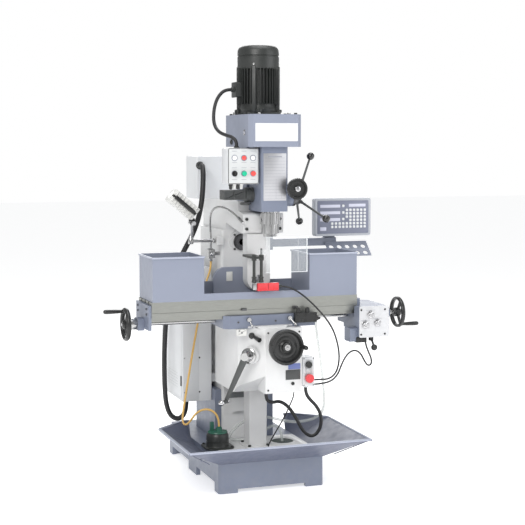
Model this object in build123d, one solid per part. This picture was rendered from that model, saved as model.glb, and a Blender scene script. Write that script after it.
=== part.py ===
from build123d import *
import math
import os

os.makedirs("parts", exist_ok=True)

# Universal knee mill on a pedestal base. Millimetres, origin at the centre of the base's footprint
# on the floor, +X along the table to the right, +Y to the back, +Z up.

# Driving dimensions
base_x = 258.0          # half width of the base
base_y = 440.0          # half depth of the base
deck_z = 160.0          # top of the base inside the coolant tray
bolt_x = 215.0          # floor bolts, half spacing across
bolt_y = 405.0          # floor bolts, half spacing front to back
bolt_r = 8.0
tray_z = 138.0          # where the tray wall starts
lip_z = 235.0           # tray lip
lip_x = 437.0           # half width of the tray at its lip
lip_front = -586.0
column_x = 118.0        # half width of the column
column_front = -40.0
column_back = 330.0
column_top = 1190.0
way_half = 62.0         # half width of the dovetail's neck, on the column
way_wide = 80.0         # half width of the dovetail's face
way_depth = 30.0
slide_gap = 0.2         # between flat sliding faces
knee_top = 765.0
knee_bottom = 450.0
knee_x = 153.0
knee_front = -500.0
saddle_top = 808.0
table_bottom = 825.0    # underside of the table's edge
table_top = 898.0
table_left = -570.0
table_right = 425.0
table_front = -440.0
table_back = -200.0
splash_top = 1100.0
screw_y = -320.0        # axis of the table screw
screw_z = 790.0
spindle_x = 15.0        # vertical spindle axis
spindle_y = -370.0
arbor_x = -22.0         # horizontal spindle axis
arbor_z = 1131.0
quill_r = 42.0
quill_low = 1192.0
quill_high = 1430.0
head_low = 1295.0
case_low = 1592.0
case_top = 1723.0
lid_top = 1741.0
motor_y = -200.0
motor_x = 15.0
pinion_z = 1350.0       # axis of the quill's feed shaft
gear_module = 2.5
small_teeth = 20
big_teeth = 48
running = 0.05          # radial clearance of a shaft in its bearing
elevating_x = -8.0      # axis of the knee's elevating screw
elevating_y = -222.0
cross_x = 22.0          # axis of the cross-feed handwheel
cross_z = 688.0
lamp_z = 1542.0         # control panel's row of lamps
button_z = 1471.0       # and its row of buttons
panel_columns = (-174.0, -129.0, -86.0)
feed_knobs = {"left": (441.0, 762.0), "right": (503.0, 769.0), "top": (467.0, 809.0)}
feed_lever_x = 484.0
feed_lever_y = -472.0
lever_z = 806.0         # saddle's lock levers
lever_left = -122.0
lever_right = 76.0
lamp_pivot_x = -276.0   # where the lamp tilts
lamp_pivot_z = 1228.0


def block(x0, x1, y0, y1, z0, z1):
    middle = Pos((x0 + x1) / 2, (y0 + y1) / 2, (z0 + z1) / 2)
    return middle * Box(x1 - x0, y1 - y0, z1 - z0)


def bar_x(x0, x1, y, z, r):
    return Pos((x0 + x1) / 2, y, z) * (Rot(0, 90, 0) * Cylinder(r, x1 - x0))


def bar_y(y0, y1, x, z, r):
    return Pos(x, (y0 + y1) / 2, z) * (Rot(90, 0, 0) * Cylinder(r, y1 - y0))


def bar_z(z0, z1, x, y, r):
    return Pos(x, y, (z0 + z1) / 2) * Cylinder(r, z1 - z0)


def rod(start, end, r):
    # round bar between any two points
    a = Vector(*start)
    b = Vector(*end)
    run = b - a
    return Plane(origin=a, z_dir=run) * Pos(0, 0, run.length / 2) * Cylinder(r, run.length)


def ball(x, y, z, r):
    return Pos(x, y, z) * Sphere(r)


def prism_z(points, z0, z1):
    outline = Polyline(*[(x, y) for x, y in points], close=True)
    return Pos(0, 0, z0) * extrude(make_face(outline), z1 - z0)


def prism_x(points, x0, x1):
    # outline given as (y, z)
    outline = Polyline(*[(x0, y, z) for y, z in points], close=True)
    return extrude(make_face(outline), x1 - x0, dir=(1, 0, 0))


def prism_y(points, y0, y1):
    # outline given as (x, z)
    outline = Polyline(*[(x, y0, z) for x, z in points], close=True)
    return extrude(make_face(outline), y1 - y0, dir=(0, 1, 0))


def soften(part, radius, axis=None):
    # rounds the part's straight edges along one axis
    return fillet(part.edges().filter_by(axis or Axis.Z), radius)


def save(name, *solids):
    shape = Compound(children=list(solids)) if len(solids) > 1 else solids[0]
    export_step(shape, f"parts/{name}.step")


# Cords: straight runs joined by the largest arcs that the runs allow

def corner_radii(route):
    radii = []
    for before, corner, after in zip(route, route[1:], route[2:]):
        run_in = Vector(*corner) - Vector(*before)
        run_out = Vector(*after) - Vector(*corner)
        half_turn = math.radians(run_in.get_angle(run_out) / 2)
        radii.append(0.45 * min(run_in.length, run_out.length) / math.tan(half_turn))
    return radii


def cord(route, diameter):
    path = FilletPolyline(*route, radius=corner_radii(route))
    start = Plane(origin=path @ 0, z_dir=path % 0)
    return sweep(start * Circle(diameter / 2), path=path)


def save_cord(name, route, diameter):
    tube = cord(route, diameter)
    path = FilletPolyline(*route, radius=corner_radii(route))
    section = math.pi * diameter**2 / 4
    print(name, "length", round(path.length), "smallest radius", round(min(corner_radii(route)), 1),
          "volume share", round(tube.volume / (section * path.length), 4))
    save(name, tube)


nozzle_route = [
    (-162, -5, 1094),
    (-162, -5, 1135),
    (-167, -16, 1180),
    (-174, -30, 1228),
    (-177, -52, 1270),
    (-172, -84, 1296),
    (-158, -124, 1308),
    (-142, -168, 1304),
    (-128, -216, 1291),
    (-116, -262, 1271),
    (-108, -300, 1254),
]
motor_lead_route = [
    (-119, -200, 1860),
    (-148, -200, 1860),
    (-182, -206, 1832),
    (-203, -212, 1790),
    (-214, -222, 1735),
    (-215, -242, 1690),
    (-204, -278, 1660),
    (-184, -318, 1646),
    (-166, -354, 1638),
    (-150, -375, 1620),
    (-150, -375, 1596),
]
head_conduit_route = [
    (-175, 140, 1500),
    (-175, 100, 1500),
    (-184, 55, 1496),
    (-192, 20, 1460),
    (-198, 4, 1405),
    (-205, -4, 1345),
    (-215, -6, 1285),
    (-230, 2, 1222),
    (-252, 14, 1160),
    (-282, 36, 1095),
    (-310, 70, 1020),
    (-325, 115, 940),
    (-331, 160, 850),
    (-333, 200, 755),
    (-334, 225, 655),
    (-335, 238, 555),
    (-334, 244, 455),
    (-332, 242, 365),
    (-326, 238, 290),
    (-306, 234, 235),
    (-270, 230, 214),
    (-238, 226, 232),
    (-225, 221, 285),
    (-225, 221, 345),
]
coolant_hose_route = [
    (-183, -200, 262),
    (-183, -200, 290),
    (-196, -194, 324),
    (-224, -184, 344),
    (-258, -172, 343),
    (-288, -160, 322),
    (-308, -150, 290),
    (-324, -138, 266),
    (-338, -122, 268),
    (-338, -108, 296),
    (-328, -100, 350),
    (-312, -90, 425),
    (-292, -76, 520),
    (-268, -60, 625),
    (-243, -46, 735),
    (-216, -32, 845),
    (-190, -18, 940),
    (-162, -5, 1000),
    (-162, -5, 1036),
]
drain_hose_route = [
    (300, -222, 808.2),
    (300, -222, 772),
    (308, -212, 715),
    (321, -206, 648),
    (334, -202, 575),
    (345, -199, 500),
    (354, -195, 430),
    (364, -186, 365),
    (366, -174, 310),
    (350, -162, 272),
    (312, -156, 252),
    (262, -154, 245),
    (210, -154, 246),
    (160, -152, 256),
    (112, -146, 270),
    (60, -138, 280),
    (5, -128, 275),
    (-48, -118, 250),
    (-88, -106, 212),
    (-104, -98, 178),
    (-82, -102, 169),
    (-42, -118, 169),
    (4, -136, 172),
    (46, -146, 196),
    (84, -150, 228),
    (118, -156, 238),
    (142, -164, 214),
    (150, -169, 172),
    (150, -169, 128),
]
guard_cable_route = [
    (20, -462, 954),
    (48, -462, 954),
    (84, -482, 944),
    (124, -498, 918),
    (164, -508, 882),
    (206, -510, 840),
    (246, -508, 795),
    (279, -504, 745),
    (300, -500, 690),
    (312, -498, 632),
    (310, -496, 578),
    (294, -492, 534),
    (262, -484, 512),
    (226, -466, 510),
    (187, -466, 510),
]
feed_cable_route = [
    (458, -463, 702),
    (458, -463, 672),
    (467, -475, 634),
    (479, -488, 600),
    (476, -497, 572),
    (454, -503, 568),
    (434, -508, 594),
    (416, -512, 628),
    (388, -516, 648),
    (356, -518, 642),
    (330, -519, 614),
    (312, -518, 576),
    (298, -515, 538),
    (272, -506, 508),
    (232, -490, 494),
    (187, -490, 494),
]
control_conduit_route = [
    (158, -462, 478),
    (158, -462, 450),
    (180, -458, 418),
    (214, -454, 386),
    (240, -450, 342),
    (244, -446, 294),
    (230, -440, 254),
    (204, -432, 234),
    (172, -422, 248),
    (148, -412, 288),
    (126, -400, 336),
    (98, -386, 378),
    (62, -372, 402),
    (26, -366, 394),
    (-2, -362, 408),
    (-2, -362, 439.8),
]
knee_lead_route = [
    (112, -432, 465),
    (112, -432, 436),
    (99, -423, 398),
    (82, -412, 352),
    (62, -399, 306),
    (40, -386, 262),
    (20, -374, 222),
    (6, -364, 186),
    (6, -364, 160),
]


# Base and tray

def make_base():
    wall = 20
    body = soften(block(-base_x, base_x, -base_y, base_y, 0, tray_z), 14)
    top = soften(block(-base_x + 8, base_x - 8, -base_y + 8, base_y - 8, tray_z, deck_z), 10)
    hollow = block(-base_x + wall, base_x - wall, -base_y + wall, base_y - wall, 0, tray_z - 30)
    front_gap = block(-166, 168, -base_y - 1, base_y + 1, 0, 18)
    side_gap = block(-base_x - 1, base_x + 1, 70, 370, 0, 42)
    shell = body + top - hollow - front_gap - side_gap - side_gap.moved(Pos(0, -440, 0))
    sump_wall = block(85, 215, -235, -105, 40, tray_z - 29)
    sump = bar_z(50, deck_z + 1, 150, -170, 52)
    side_port = bar_x(-base_x - 1, -base_x + wall + 1, -150, 92, 9)
    foot_left = block(-150, -column_x - slide_gap, -30, 300, deck_z - 1, 405)
    foot_right = block(column_x + slide_gap, 150, -30, 300, deck_z - 1, 405)
    shell = shell + sump_wall + foot_left + foot_right - sump - side_port
    for x in (-bolt_x, bolt_x):
        for y in (-bolt_y, bolt_y):
            pad = block(x - 25, x + 25, y - 25, y + 25, 0, 20)
            shell = shell + pad - bar_z(-1, 21, x, y, bolt_r)
    return shell


def tray_outline(x, front, shoulder, back_x, back):
    return [(-x, front), (x, front), (x, shoulder), (back_x, back), (-back_x, back), (-x, shoulder)]


def tray_solid(grow, z0, z1):
    low = tray_outline(base_x + grow, -base_y - grow, -60, base_x - 18 + grow, 60 + grow)
    high = tray_outline(lip_x + grow, lip_front - grow, -50, 280 + grow, 90 + grow)
    low_face = Pos(0, 0, z0) * make_face(Polyline(*low, close=True))
    high_face = Pos(0, 0, z1) * make_face(Polyline(*high, close=True))
    return loft([low_face, high_face], ruled=True)


def make_tray():
    sheet = 5
    shell = tray_solid(0, tray_z, lip_z) - tray_solid(-sheet, tray_z - 0.01, lip_z + 0.01)
    rim_out = tray_outline(lip_x + 5, lip_front - 5, -48, 283, 95)
    rim_in = tray_outline(lip_x - 6, lip_front + 6, -52, 274, 84)
    rim = prism_z(rim_out, lip_z - 6, lip_z + 3) - prism_z(rim_in, lip_z - 7, lip_z + 4)
    rest = block(-base_x + 7.8, base_x - 7.8, -base_y + 7.8, base_y, tray_z - 1, lip_z + 5)
    return shell + rim - rest


# Column, cabinets and overarm

def dovetail(z0, z1, gap):
    back = column_front + 1
    face = column_front - way_depth
    points = [
        (-way_half - 2 * gap, back),
        (-way_half - 2 * gap, column_front - gap),
        (-way_wide - 2 * gap, face - gap),
        (way_wide + 2 * gap, face - gap),
        (way_half + 2 * gap, column_front - gap),
        (way_half + 2 * gap, back),
    ]
    return prism_z(points, z0, z1)


def make_column():
    body = soften(block(-column_x, column_x, column_front, column_back, deck_z, column_top), 12)
    ways = dovetail(300, 1150, 0)
    hollow = block(-column_x + 22, column_x - 22, column_front + 130, column_back + 1, 230, 1060)
    nose = bar_y(column_front - 14, column_front, arbor_x, arbor_z, 58)
    bore = bar_y(column_front - way_depth - 20, column_front + 110, arbor_x, arbor_z, 40 + running)
    relief = bar_y(column_front - way_depth - 20, column_front - 14, arbor_x, arbor_z, 64)
    lamp_boss = block(-150, -column_x + 1, -66, -26, 1120, 1160) + block(-130, -column_x + 1, -30, 10, 1120, 1160)
    lamp_bore = bar_x(-151, -128, -46, 1140, 6 + running)
    return body + ways + nose + lamp_boss - relief - bore - hollow - lamp_bore


def make_way_cover():
    # rubber bellows hung from the knee in front of the column
    pleat = 10
    cover = block(-96, 96, column_front - way_depth - 6, column_front - way_depth - 2, 370, knee_bottom)
    for i in range(8):
        z = 370 + pleat * i
        cover = cover + block(-98, 98, column_front - way_depth - 9, column_front - way_depth - 2, z, z + 5)
    return cover


def cabinet(x0, x1, y0, y1, z0, z1):
    sheet = 3
    shell = soften(block(x0, x1, y0, y1, z0, z1), 6)
    inside = block(x0 + sheet, x1 - sheet, y0 + sheet, y1 - sheet, z0 + sheet, z1 - sheet)
    return shell - inside


def make_cabinets():
    low = cabinet(-300, -150.2, 22, 420, 345, 1000)
    low = low + block(-151, -column_x - 0.2, 60, 300, 430, 470) + block(-151, -column_x - 0.2, 60, 300, 900, 940)
    high = cabinet(-190, 150, 140, 335, 1335.2, 1545)
    return low, high


def make_overarm():
    side = [
        (column_back, column_top),
        (column_back, 1335),
        (-246, 1335),
        (-246, 1292),
        (-316, 1280),
        (-316, 1186),
        (column_front - 8, 1226),
        (column_front, column_top + 0.2),
    ]
    arm = prism_x(side, -100, 100)
    return fillet(arm.edges().filter_by(Axis.X).group_by(Axis.Y)[0], 14)


def make_arbor_support():
    side = [(-316, 975), (-316, 1185.8), (-248, 1194.5), (-248, 975)]
    hanger = prism_x(side, -78, 34)
    ring = bar_y(-316, -248, arbor_x, 975, 56)
    bore = bar_y(-318, -246, arbor_x, 975, 20.0)
    return hanger + ring - bore


def make_horizontal_spindle():
    barrel = bar_y(column_front - 24, column_front + 105, arbor_x, arbor_z, 40)
    nose = bar_y(column_front - 34, column_front - 24, arbor_x, arbor_z, 36)
    taper = Pos(arbor_x, column_front - 2, arbor_z) * (Rot(90, 0, 0) * Cone(9, 17, 64.5))
    spindle = barrel + nose - taper
    for side in (-1, 1):
        x = arbor_x + side * 27
        spindle = spindle + block(x - 6, x + 6, column_front - 42, column_front - 30, arbor_z - 6, arbor_z + 6)
    return spindle


def make_pedestal():
    half = 44
    tube = soften(block(elevating_x - half, elevating_x + half, elevating_y - half, elevating_y + half, deck_z, 450), 5)
    inside = block(elevating_x - 36, elevating_x + 36, elevating_y - 36, elevating_y + 36, deck_z - 1, 436)
    foot = soften(block(elevating_x - 62, elevating_x + 62, elevating_y - 62, elevating_y + 62, deck_z, deck_z + 10), 8)
    nut = bar_z(449, 480, elevating_x, elevating_y, 27)
    bore = bar_z(430, 481, elevating_x, elevating_y, 18.35)
    return tube + foot - inside + nut - bore


# Head

def make_head():
    front = block(-50, 80, -435, -250, head_low, case_low)
    front = soften(front, 9)
    rear = block(-60, 90, -252, -105, 1335.2, case_low)
    quill_bore = bar_z(head_low - 1, quill_high + 6, spindle_x, spindle_y, quill_r + running)
    sleeve_bore = bar_z(quill_high, case_low + 1, spindle_x, spindle_y, 24 + running)
    boss = bar_x(78, 120, spindle_y, pinion_z, 34)
    feed_bore = bar_x(60, 121, spindle_y, pinion_z, 12 + running)
    fine_boss = bar_y(-447, -433, 112, 1400, 19) + block(79, 118, -446, -420, 1386, 1414)
    fine_bore = bar_y(-448, -400, 112, 1400, 6 + running)
    return front + rear + boss + fine_boss - quill_bore - sleeve_bore - feed_bore - fine_bore


def make_gear_case():
    wall = 8
    points = [(-115, -440), (-95, -460), (120, -460), (140, -440), (140, -105), (-115, -105)]
    shell = prism_z(points, case_low + 0.01, case_top)
    inside = block(-115 + wall, 140 - wall, -440 + wall, -105 - wall, case_low + 10, case_top + 1)
    spindle_hole = bar_z(case_low - 1, case_low + 11, spindle_x, spindle_y, 24 + running)
    shaft_hole = bar_z(case_low - 1, case_low + 11, motor_x, motor_y - 85, 10 + running)
    return shell - inside - spindle_hole - shaft_hole


def make_gear_case_lid():
    points = [(-115, -440), (-95, -460), (120, -460), (140, -440), (140, -105), (-115, -105)]
    lid = prism_z(points, case_top, lid_top)
    motor_hole = bar_z(case_top - 1, lid_top + 1, motor_x, motor_y, 14 + running)
    return lid - motor_hole


def make_motor():
    fins = 28
    flange = soften(block(motor_x - 88, motor_x + 88, motor_y - 88, motor_y + 88, lid_top, 1757), 20)
    core = bar_z(1757, 1968, motor_x, motor_y, 84) + bar_z(1757, 1786, motor_x, motor_y, 91)
    fin = block(82, 103, -1.6, 1.6, 1790, 1960)
    for i in range(fins):
        core = core + Pos(motor_x, motor_y, 0) * Rot(0, 0, 360 * i / fins) * fin
    box = block(motor_x - 124, motor_x - 80, motor_y - 36, motor_y + 36, 1815, 1900)
    gland = bar_x(motor_x - 134, motor_x - 123, motor_y, 1860, 12)
    shaft_hole = bar_z(lid_top - 1, 1900, motor_x, motor_y, 14 + running)
    body = flange + core + box + gland - shaft_hole
    cowl = bar_z(1968.2, 2050, motor_x, motor_y, 98)
    dome = bar_z(2045, 2067, motor_x, motor_y, 98)
    dome = fillet(dome.edges().group_by(Axis.Z)[-1], 17)
    return body, cowl + dome


def spur_gear(teeth, width):
    # teeth kept thin enough to turn freely in mesh
    pitch_r = gear_module * teeth / 2
    root_r = pitch_r - 1.15 * gear_module
    tip_r = pitch_r + 0.8 * gear_module
    step = 2 * math.pi / teeth
    points = []
    for i in range(teeth):
        for r, share in ((root_r, -0.27), (tip_r, -0.1), (tip_r, 0.1), (root_r, 0.27)):
            angle = step * (i + share)
            points.append((r * math.cos(angle), r * math.sin(angle)))
    return extrude(make_face(Polyline(*points, close=True)), width)


def make_motor_pinion():
    shaft = bar_z(1700, 1896, motor_x, motor_y, 14) + bar_z(1655, 1705, motor_x, motor_y, 12)
    gear = Pos(motor_x, motor_y, 1660) * Rot(0, 0, -90) * spur_gear(small_teeth, 24)
    return shaft + gear


def make_countershaft():
    y = motor_y - 85
    shaft = bar_z(case_low + 0.5, 1700, motor_x, y, 10)
    half_tooth = 180 / big_teeth
    big = Pos(motor_x, y, 1662) * Rot(0, 0, 90 + half_tooth) * spur_gear(big_teeth, 20)
    small = Pos(motor_x, y, 1618) * Rot(0, 0, -90) * spur_gear(small_teeth, 24)
    return shaft + big + small


def make_spindle_gear():
    half_tooth = 180 / big_teeth
    gear = Pos(spindle_x, spindle_y, 1620) * Rot(0, 0, 90 + half_tooth) * spur_gear(big_teeth, 20)
    sleeve = bar_z(quill_high + 12, 1650, spindle_x, spindle_y, 24)
    bore = bar_z(quill_high, 1651, spindle_x, spindle_y, 15.3)
    return gear + sleeve - bore


def make_quill():
    tube = bar_z(quill_low, quill_high, spindle_x, spindle_y, quill_r)
    collar = bar_z(1236, 1287, spindle_x, spindle_y, 48)
    bore = bar_z(quill_low - 1, quill_high + 1, spindle_x, spindle_y, 20 + running)
    return tube + collar - bore


def make_spindle():
    shaft = bar_z(quill_low - 0.2, quill_high + 2, spindle_x, spindle_y, 20)
    nose = bar_z(1178, quill_low - 0.2, spindle_x, spindle_y, 31)
    drive = bar_z(quill_high, 1640, spindle_x, spindle_y, 15)
    taper = Pos(spindle_x, spindle_y, 1208) * Cone(15, 8.5, 64)
    return shaft + nose + drive - taper


def make_feed_capstan():
    hub_x = 150
    hub = bar_x(120.5, hub_x + 14, spindle_y, pinion_z, 27)
    dial = bar_x(122, 134, spindle_y, pinion_z, 33)
    shaft = bar_x(61, 122, spindle_y, pinion_z, 12)
    capstan = hub + dial + shaft
    reach = 200
    lean = 72
    for turn in (5, 125, 245):
        angle = math.radians(turn)
        out_y = math.sin(angle)
        out_z = math.cos(angle)
        start = (hub_x, spindle_y + 10 * out_y, pinion_z + 10 * out_z)
        end = (hub_x + lean, spindle_y + reach * out_y, pinion_z + reach * out_z)
        capstan = capstan + rod(start, end, 6) + ball(*end, 18)
    return capstan


def make_fine_feed_wheel():
    rim = bar_y(-478, -458, 112, 1400, 49)
    dish = bar_y(-479, -470, 112, 1400, 36)
    hub = bar_y(-482, -447.3, 112, 1400, 14)
    shaft = bar_y(-448, -402, 112, 1400, 6)
    return rim - dish + hub + shaft


def make_control_panel():
    box = soften(block(-205, -57, -420, -327, 1423, 1587), 6, Axis.Y)
    bracket = block(-58, -50.2, -400, -345, 1440, 1570)
    gland = bar_z(1586, 1596, -150, -375, 12)
    box = box + bracket + gland
    for x in panel_columns:
        lamp = bar_y(-425, -419, x, lamp_z, 10)
        box = box + lamp - bar_y(-421, -400, x, button_z, 8 + running)
    switch = block(-197, -90, -330, -262, 1345, 1393)
    spring_cup = bar_x(-90, -50.2, spindle_y + 62, 1370, 35)
    return box, switch + spring_cup


def make_push_button(x):
    return bar_y(-431, -423, x, button_z, 11) + bar_y(-424, -403, x, button_z, 8)


def make_panel_selector():
    x = panel_columns[0]
    knob = bar_y(-424, -421, x, button_z, 13) + block(x - 4, x + 4, -436, -423, button_z - 12, button_z + 12)
    return knob + bar_y(-422, -403, x, button_z, 8)


# Readout, lamp and guard

def make_tool_rack():
    # perforated plate that slopes down and forwards from the rail
    width = 226
    length = 101
    slope = 42
    middle_x = 543
    pitch = 43
    rack = Pos(0, -length / 2, 0) * Box(width, length, 3)
    for column in range(5):
        for reach in (37, 80):
            rack = rack - Pos(-86.5 + pitch * column, -reach, 0) * Cylinder(12, 10)
    return Pos(middle_x, -12, 1116) * (Rot(slope, 0, 0) * rack)


def make_readout_arm():
    rail = block(110, 470, -10, 20, 1098, 1136)
    foot = block(column_x + 0.2, 150, -30, 40, 1085, 1150)
    riser = block(446, 506, 38, 50, 1100, 1204)
    joint = block(440, 506, 18, 50, 1100, 1136)
    yoke = block(446, 464, 8, 40, 1178, 1204) + block(488, 506, 8, 40, 1178, 1204)
    pin = bar_x(450, 502, 20, 1190, 7)
    rail = rail - block(100, column_x + 0.2, -11, 21, 1097, 1137)
    lug = block(434, 466, -18, -9, 1102, 1117)
    return rail + foot + riser + joint + yoke + pin + lug + make_tool_rack()


def make_readout():
    case = soften(block(363, 662, -60, -12, 1148, 1336), 10, Axis.Y)
    window = soften(block(373, 652, -61, -57, 1158, 1326), 6, Axis.Y)
    lug = block(466, 486, -13, 20, 1181, 1199) + bar_x(466, 486, 20, 1190, 13)
    hole = bar_x(460, 490, 20, 1190, 7 + running)
    keys = []
    for row in range(5):
        for column in range(7):
            x = 520 + 18 * column
            z = 1186 + 26 * row
            keys.append(block(x - 6.5, x + 6.5, -60, -56, z - 9, z + 9))
    face = case - window
    for key in keys:
        face = face + key
    return face + lug - hole


def make_lamp_arm():
    post = rod((-270, -46, 1148), (-276, -66, 1222), 7)
    cross = bar_x(-268, -150.3, -46, 1140, 8) + bar_x(-151, -130, -46, 1140, 6)
    socket = bar_z(1126, 1156, -275, -46, 12)
    knuckle = bar_y(-80, -56, lamp_pivot_x, lamp_pivot_z, 13)
    pin = bar_y(-95, -41, lamp_pivot_x, lamp_pivot_z, 5)
    return post + cross + socket + knuckle + pin


def make_lamp_head():
    tilt = 40
    housing = Box(150, 84, 66)
    ribs = housing
    for i in range(6):
        ribs = ribs + Pos(-60 + 24 * i, 0, 3) * Box(6, 90, 68)
    handle = Pos(0, -49, 0) * Box(112, 10, 16)
    head = ribs + handle
    placed = Pos(-322, -70, 1318) * Rot(0, tilt, 0) * head
    stem = rod((lamp_pivot_x, -68, 1248), (-292, -70, 1290), 7)
    bridge = block(lamp_pivot_x - 9, lamp_pivot_x + 9, -92, -44, 1243, 1251)
    clevis = stem + bridge
    for y in (-92, -55.6):
        cheek = bar_y(y, y + 11.6, lamp_pivot_x, lamp_pivot_z, 11)
        clevis = clevis + cheek + block(lamp_pivot_x - 9, lamp_pivot_x + 9, y, y + 11.6, lamp_pivot_z, 1244)
    return placed + clevis - bar_y(-96, -40, lamp_pivot_x, lamp_pivot_z, 5 + running)


def make_guard_post():
    plate = block(-104, -48, -470, -316.2, 1083, 1093) + bar_z(1099, 1130, -60, -462, 5 - running)
    rods = bar_z(981, 1100, -95, -462, 7) + bar_z(981, 1100, -60, -462, 7)
    knobs = bar_z(975, 992, -95, -462, 11) + bar_z(975, 992, -60, -462, 11)
    switch = block(-82, 20, -478, -455, 936, 972)
    stem = block(-104, -82, -474, -457, 940, 975)
    return plate + rods + knobs, switch + stem


def make_guard_shield():
    sheet = block(-38, 165, -464, -460, 1016, 1182)
    frame = block(-38, -28, -466, -458, 1016, 1182) + block(155, 165, -466, -458, 1016, 1182)
    lug = bar_z(1102, 1126, -60, -462, 14) + block(-60, -36, -466, -458, 1102, 1126)
    pin_hole = bar_z(1100, 1128, -60, -462, 5)
    return sheet + frame + lug - pin_hole


# Knee and saddle

def make_knee():
    plan = [
        (-knee_x, -42),
        (-knee_x, -400),
        (-53, knee_front),
        (128, knee_front),
        (128, -420),
        (knee_x, -395),
        (knee_x, -42),
    ]
    body = prism_z(plan, knee_bottom, knee_top)
    slope = [(-330, knee_bottom - 1), (-502, knee_bottom - 1), (-502, 548)]
    body = body - prism_x(slope, -knee_x - 1, knee_x + 1)
    front_box = block(-53, 128, knee_front, -392, 465, 620)
    hollow = block(-110, 110, -328, -112, knee_bottom - 1, 640)
    body = soften(body, 6) + soften(front_box, 5) - hollow - dovetail(knee_bottom - 1, knee_top + 1, slide_gap)
    rail = [(-62, knee_top - 0.5), (-74, knee_top + 10), (74, knee_top + 10), (62, knee_top - 0.5)]
    rail = [(x - 15, z) for x, z in rail]
    top = prism_y(rail, -490, column_front - way_depth - 5)
    flange = block(-32, -6, knee_front - 8, knee_front, 645, 722)
    boss = bar_y(-536, knee_front + 1, cross_x, cross_z, 24)
    wheel_bore = bar_y(-537, -440, cross_x, cross_z, 10 + running)
    crank_boss = rod((-100, -453, 642), (-122, -475, 642), 34)
    crank_bore = rod((-70, -423, 642), (-123, -476, 642), 12 + running)
    screw_seat = bar_z(639, 690, elevating_x, elevating_y, 14 + running)
    gland = bar_z(440, 470, -2, -362, 12)
    solid = body + top + flange + boss + crank_boss + gland
    return solid - wheel_bore - crank_bore - screw_seat


def make_control_box():
    box = soften(block(128.2, 187, -500, -425, 487, 625), 5, Axis.Y)
    box = box + bar_z(478, 488, 158, -462, 13)
    knob_bore = bar_y(-501, -470, 156, 590, 5 + running)
    stop_bore = bar_y(-501, -470, 156, 528, 8 + running)
    return box - knob_bore - stop_bore


def make_speed_knob():
    return bar_y(-518, -501, 156, 590, 14) + bar_y(-502, -474, 156, 590, 5)


def make_estop():
    return bar_y(-526, -512, 156, 528, 20) + bar_y(-513, -478, 156, 528, 8)


def make_knee_screw():
    core = bar_z(320, 639.5, elevating_x, elevating_y, 16)
    thread = core
    for i in range(26):
        z = 322 + 12 * i
        thread = thread + bar_z(z, z + 6, elevating_x, elevating_y, 18)
    neck = bar_z(639, 688, elevating_x, elevating_y, 14)
    return thread + neck


def make_knee_crank():
    hub = rod((-122.5, -475.5, 642), (-150, -503, 642), 26)
    ring = rod((-122.5, -475.5, 642), (-131, -484, 642), 36)
    shaft = rod((-72, -425, 642), (-123, -476, 642), 12)
    arm_start = (-150, -503, 642)
    arm_end = (-222, -431, 428)
    arm = rod(arm_start, arm_end, 11)
    grip = rod((-208, -417, 428), (-246, -455, 428), 10)
    end = ball(-250, -459, 428, 14) + ball(-204, -413, 428, 12)
    boss = rod((-140, -493, 642), (-158, -511, 642), 21)
    return hub + ring + shaft + arm + grip + end + boss


def make_cross_handwheel():
    rim = bar_y(-586, -558, cross_x, cross_z, 82)
    dish = bar_y(-587, -566, cross_x, cross_z, 62)
    hub = bar_y(-590, -536.3, cross_x, cross_z, 24)
    shaft = bar_y(-537, -442, cross_x, cross_z, 10)
    handle = bar_y(-646, -585, cross_x + 72, cross_z + 2, 10)
    return rim - dish + hub + shaft + handle


def saddle_groove(gap):
    rail = [(-62, knee_top - 1), (-74, knee_top + 10), (74, knee_top + 10), (62, knee_top - 1)]
    grown = [(x - 15 + math.copysign(2 * gap, x), z + gap) for x, z in rail]
    return prism_y(grown, -500, -50)


def table_way(gap, x0, x1):
    low = saddle_top - 1
    points = [
        (-392 - 2 * gap, low),
        (-408 - 2 * gap, saddle_top + 16 + gap),
        (-232 + 2 * gap, saddle_top + 16 + gap),
        (-248 + 2 * gap, low),
    ]
    return prism_x(points, x0, x1)


def make_saddle():
    body = block(-236, 205, -436, -182, knee_top + slide_gap, saddle_top)
    skirt = block(-236, 205, -460, -435, knee_top + slide_gap, table_bottom - 1)
    corner = prism_z([(-237, -461), (-210, -461), (-237, -434)], knee_top - 1, table_bottom + 1)
    body = body + skirt - corner + table_way(0, -236, 205) - saddle_groove(slide_gap)
    bore = bar_x(-240, 210, screw_y, screw_z, 11 + 0.35)
    for x in (lever_left, lever_right):
        body = body - bar_y(-461, -440, x, lever_z, 6 + running)
    return body - bore


def make_lock_lever(x, lean, end_y):
    pivot = bar_y(-476, -461.3, x, lever_z, 10) + bar_y(-462, -442, x, lever_z, 6)
    end = (x + lean, end_y, lever_z - 26)
    return pivot + rod((x, -470, lever_z), end, 4) + ball(*end, 7)


def make_limit_switch():
    body = block(98, 205, -484, -460.2, 784, 828)
    for x in (118, 162):
        body = body + block(x - 8, x + 8, -478, -464, 827, 850)
    return body


# Table

def make_table():
    top = block(table_left, table_right, table_front, table_back, table_bottom, table_top)
    groove = block(table_left - 1, table_right + 1, table_front - 1, table_front + 3, 848, 853)
    body = block(table_left, table_right, -430, -212, saddle_top + slide_gap, table_bottom + 1)
    table = top + body - groove - table_way(slide_gap, table_left - 1, table_right + 1)
    for y in (-384, -320, -256):
        slot = block(table_left - 1, table_right + 1, y - 7, y + 7, table_top - 16, table_top + 1)
        foot = block(table_left - 1, table_right + 1, y - 11, y + 11, table_top - 24, table_top - 15)
        table = table - slot - foot
    return table


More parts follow.
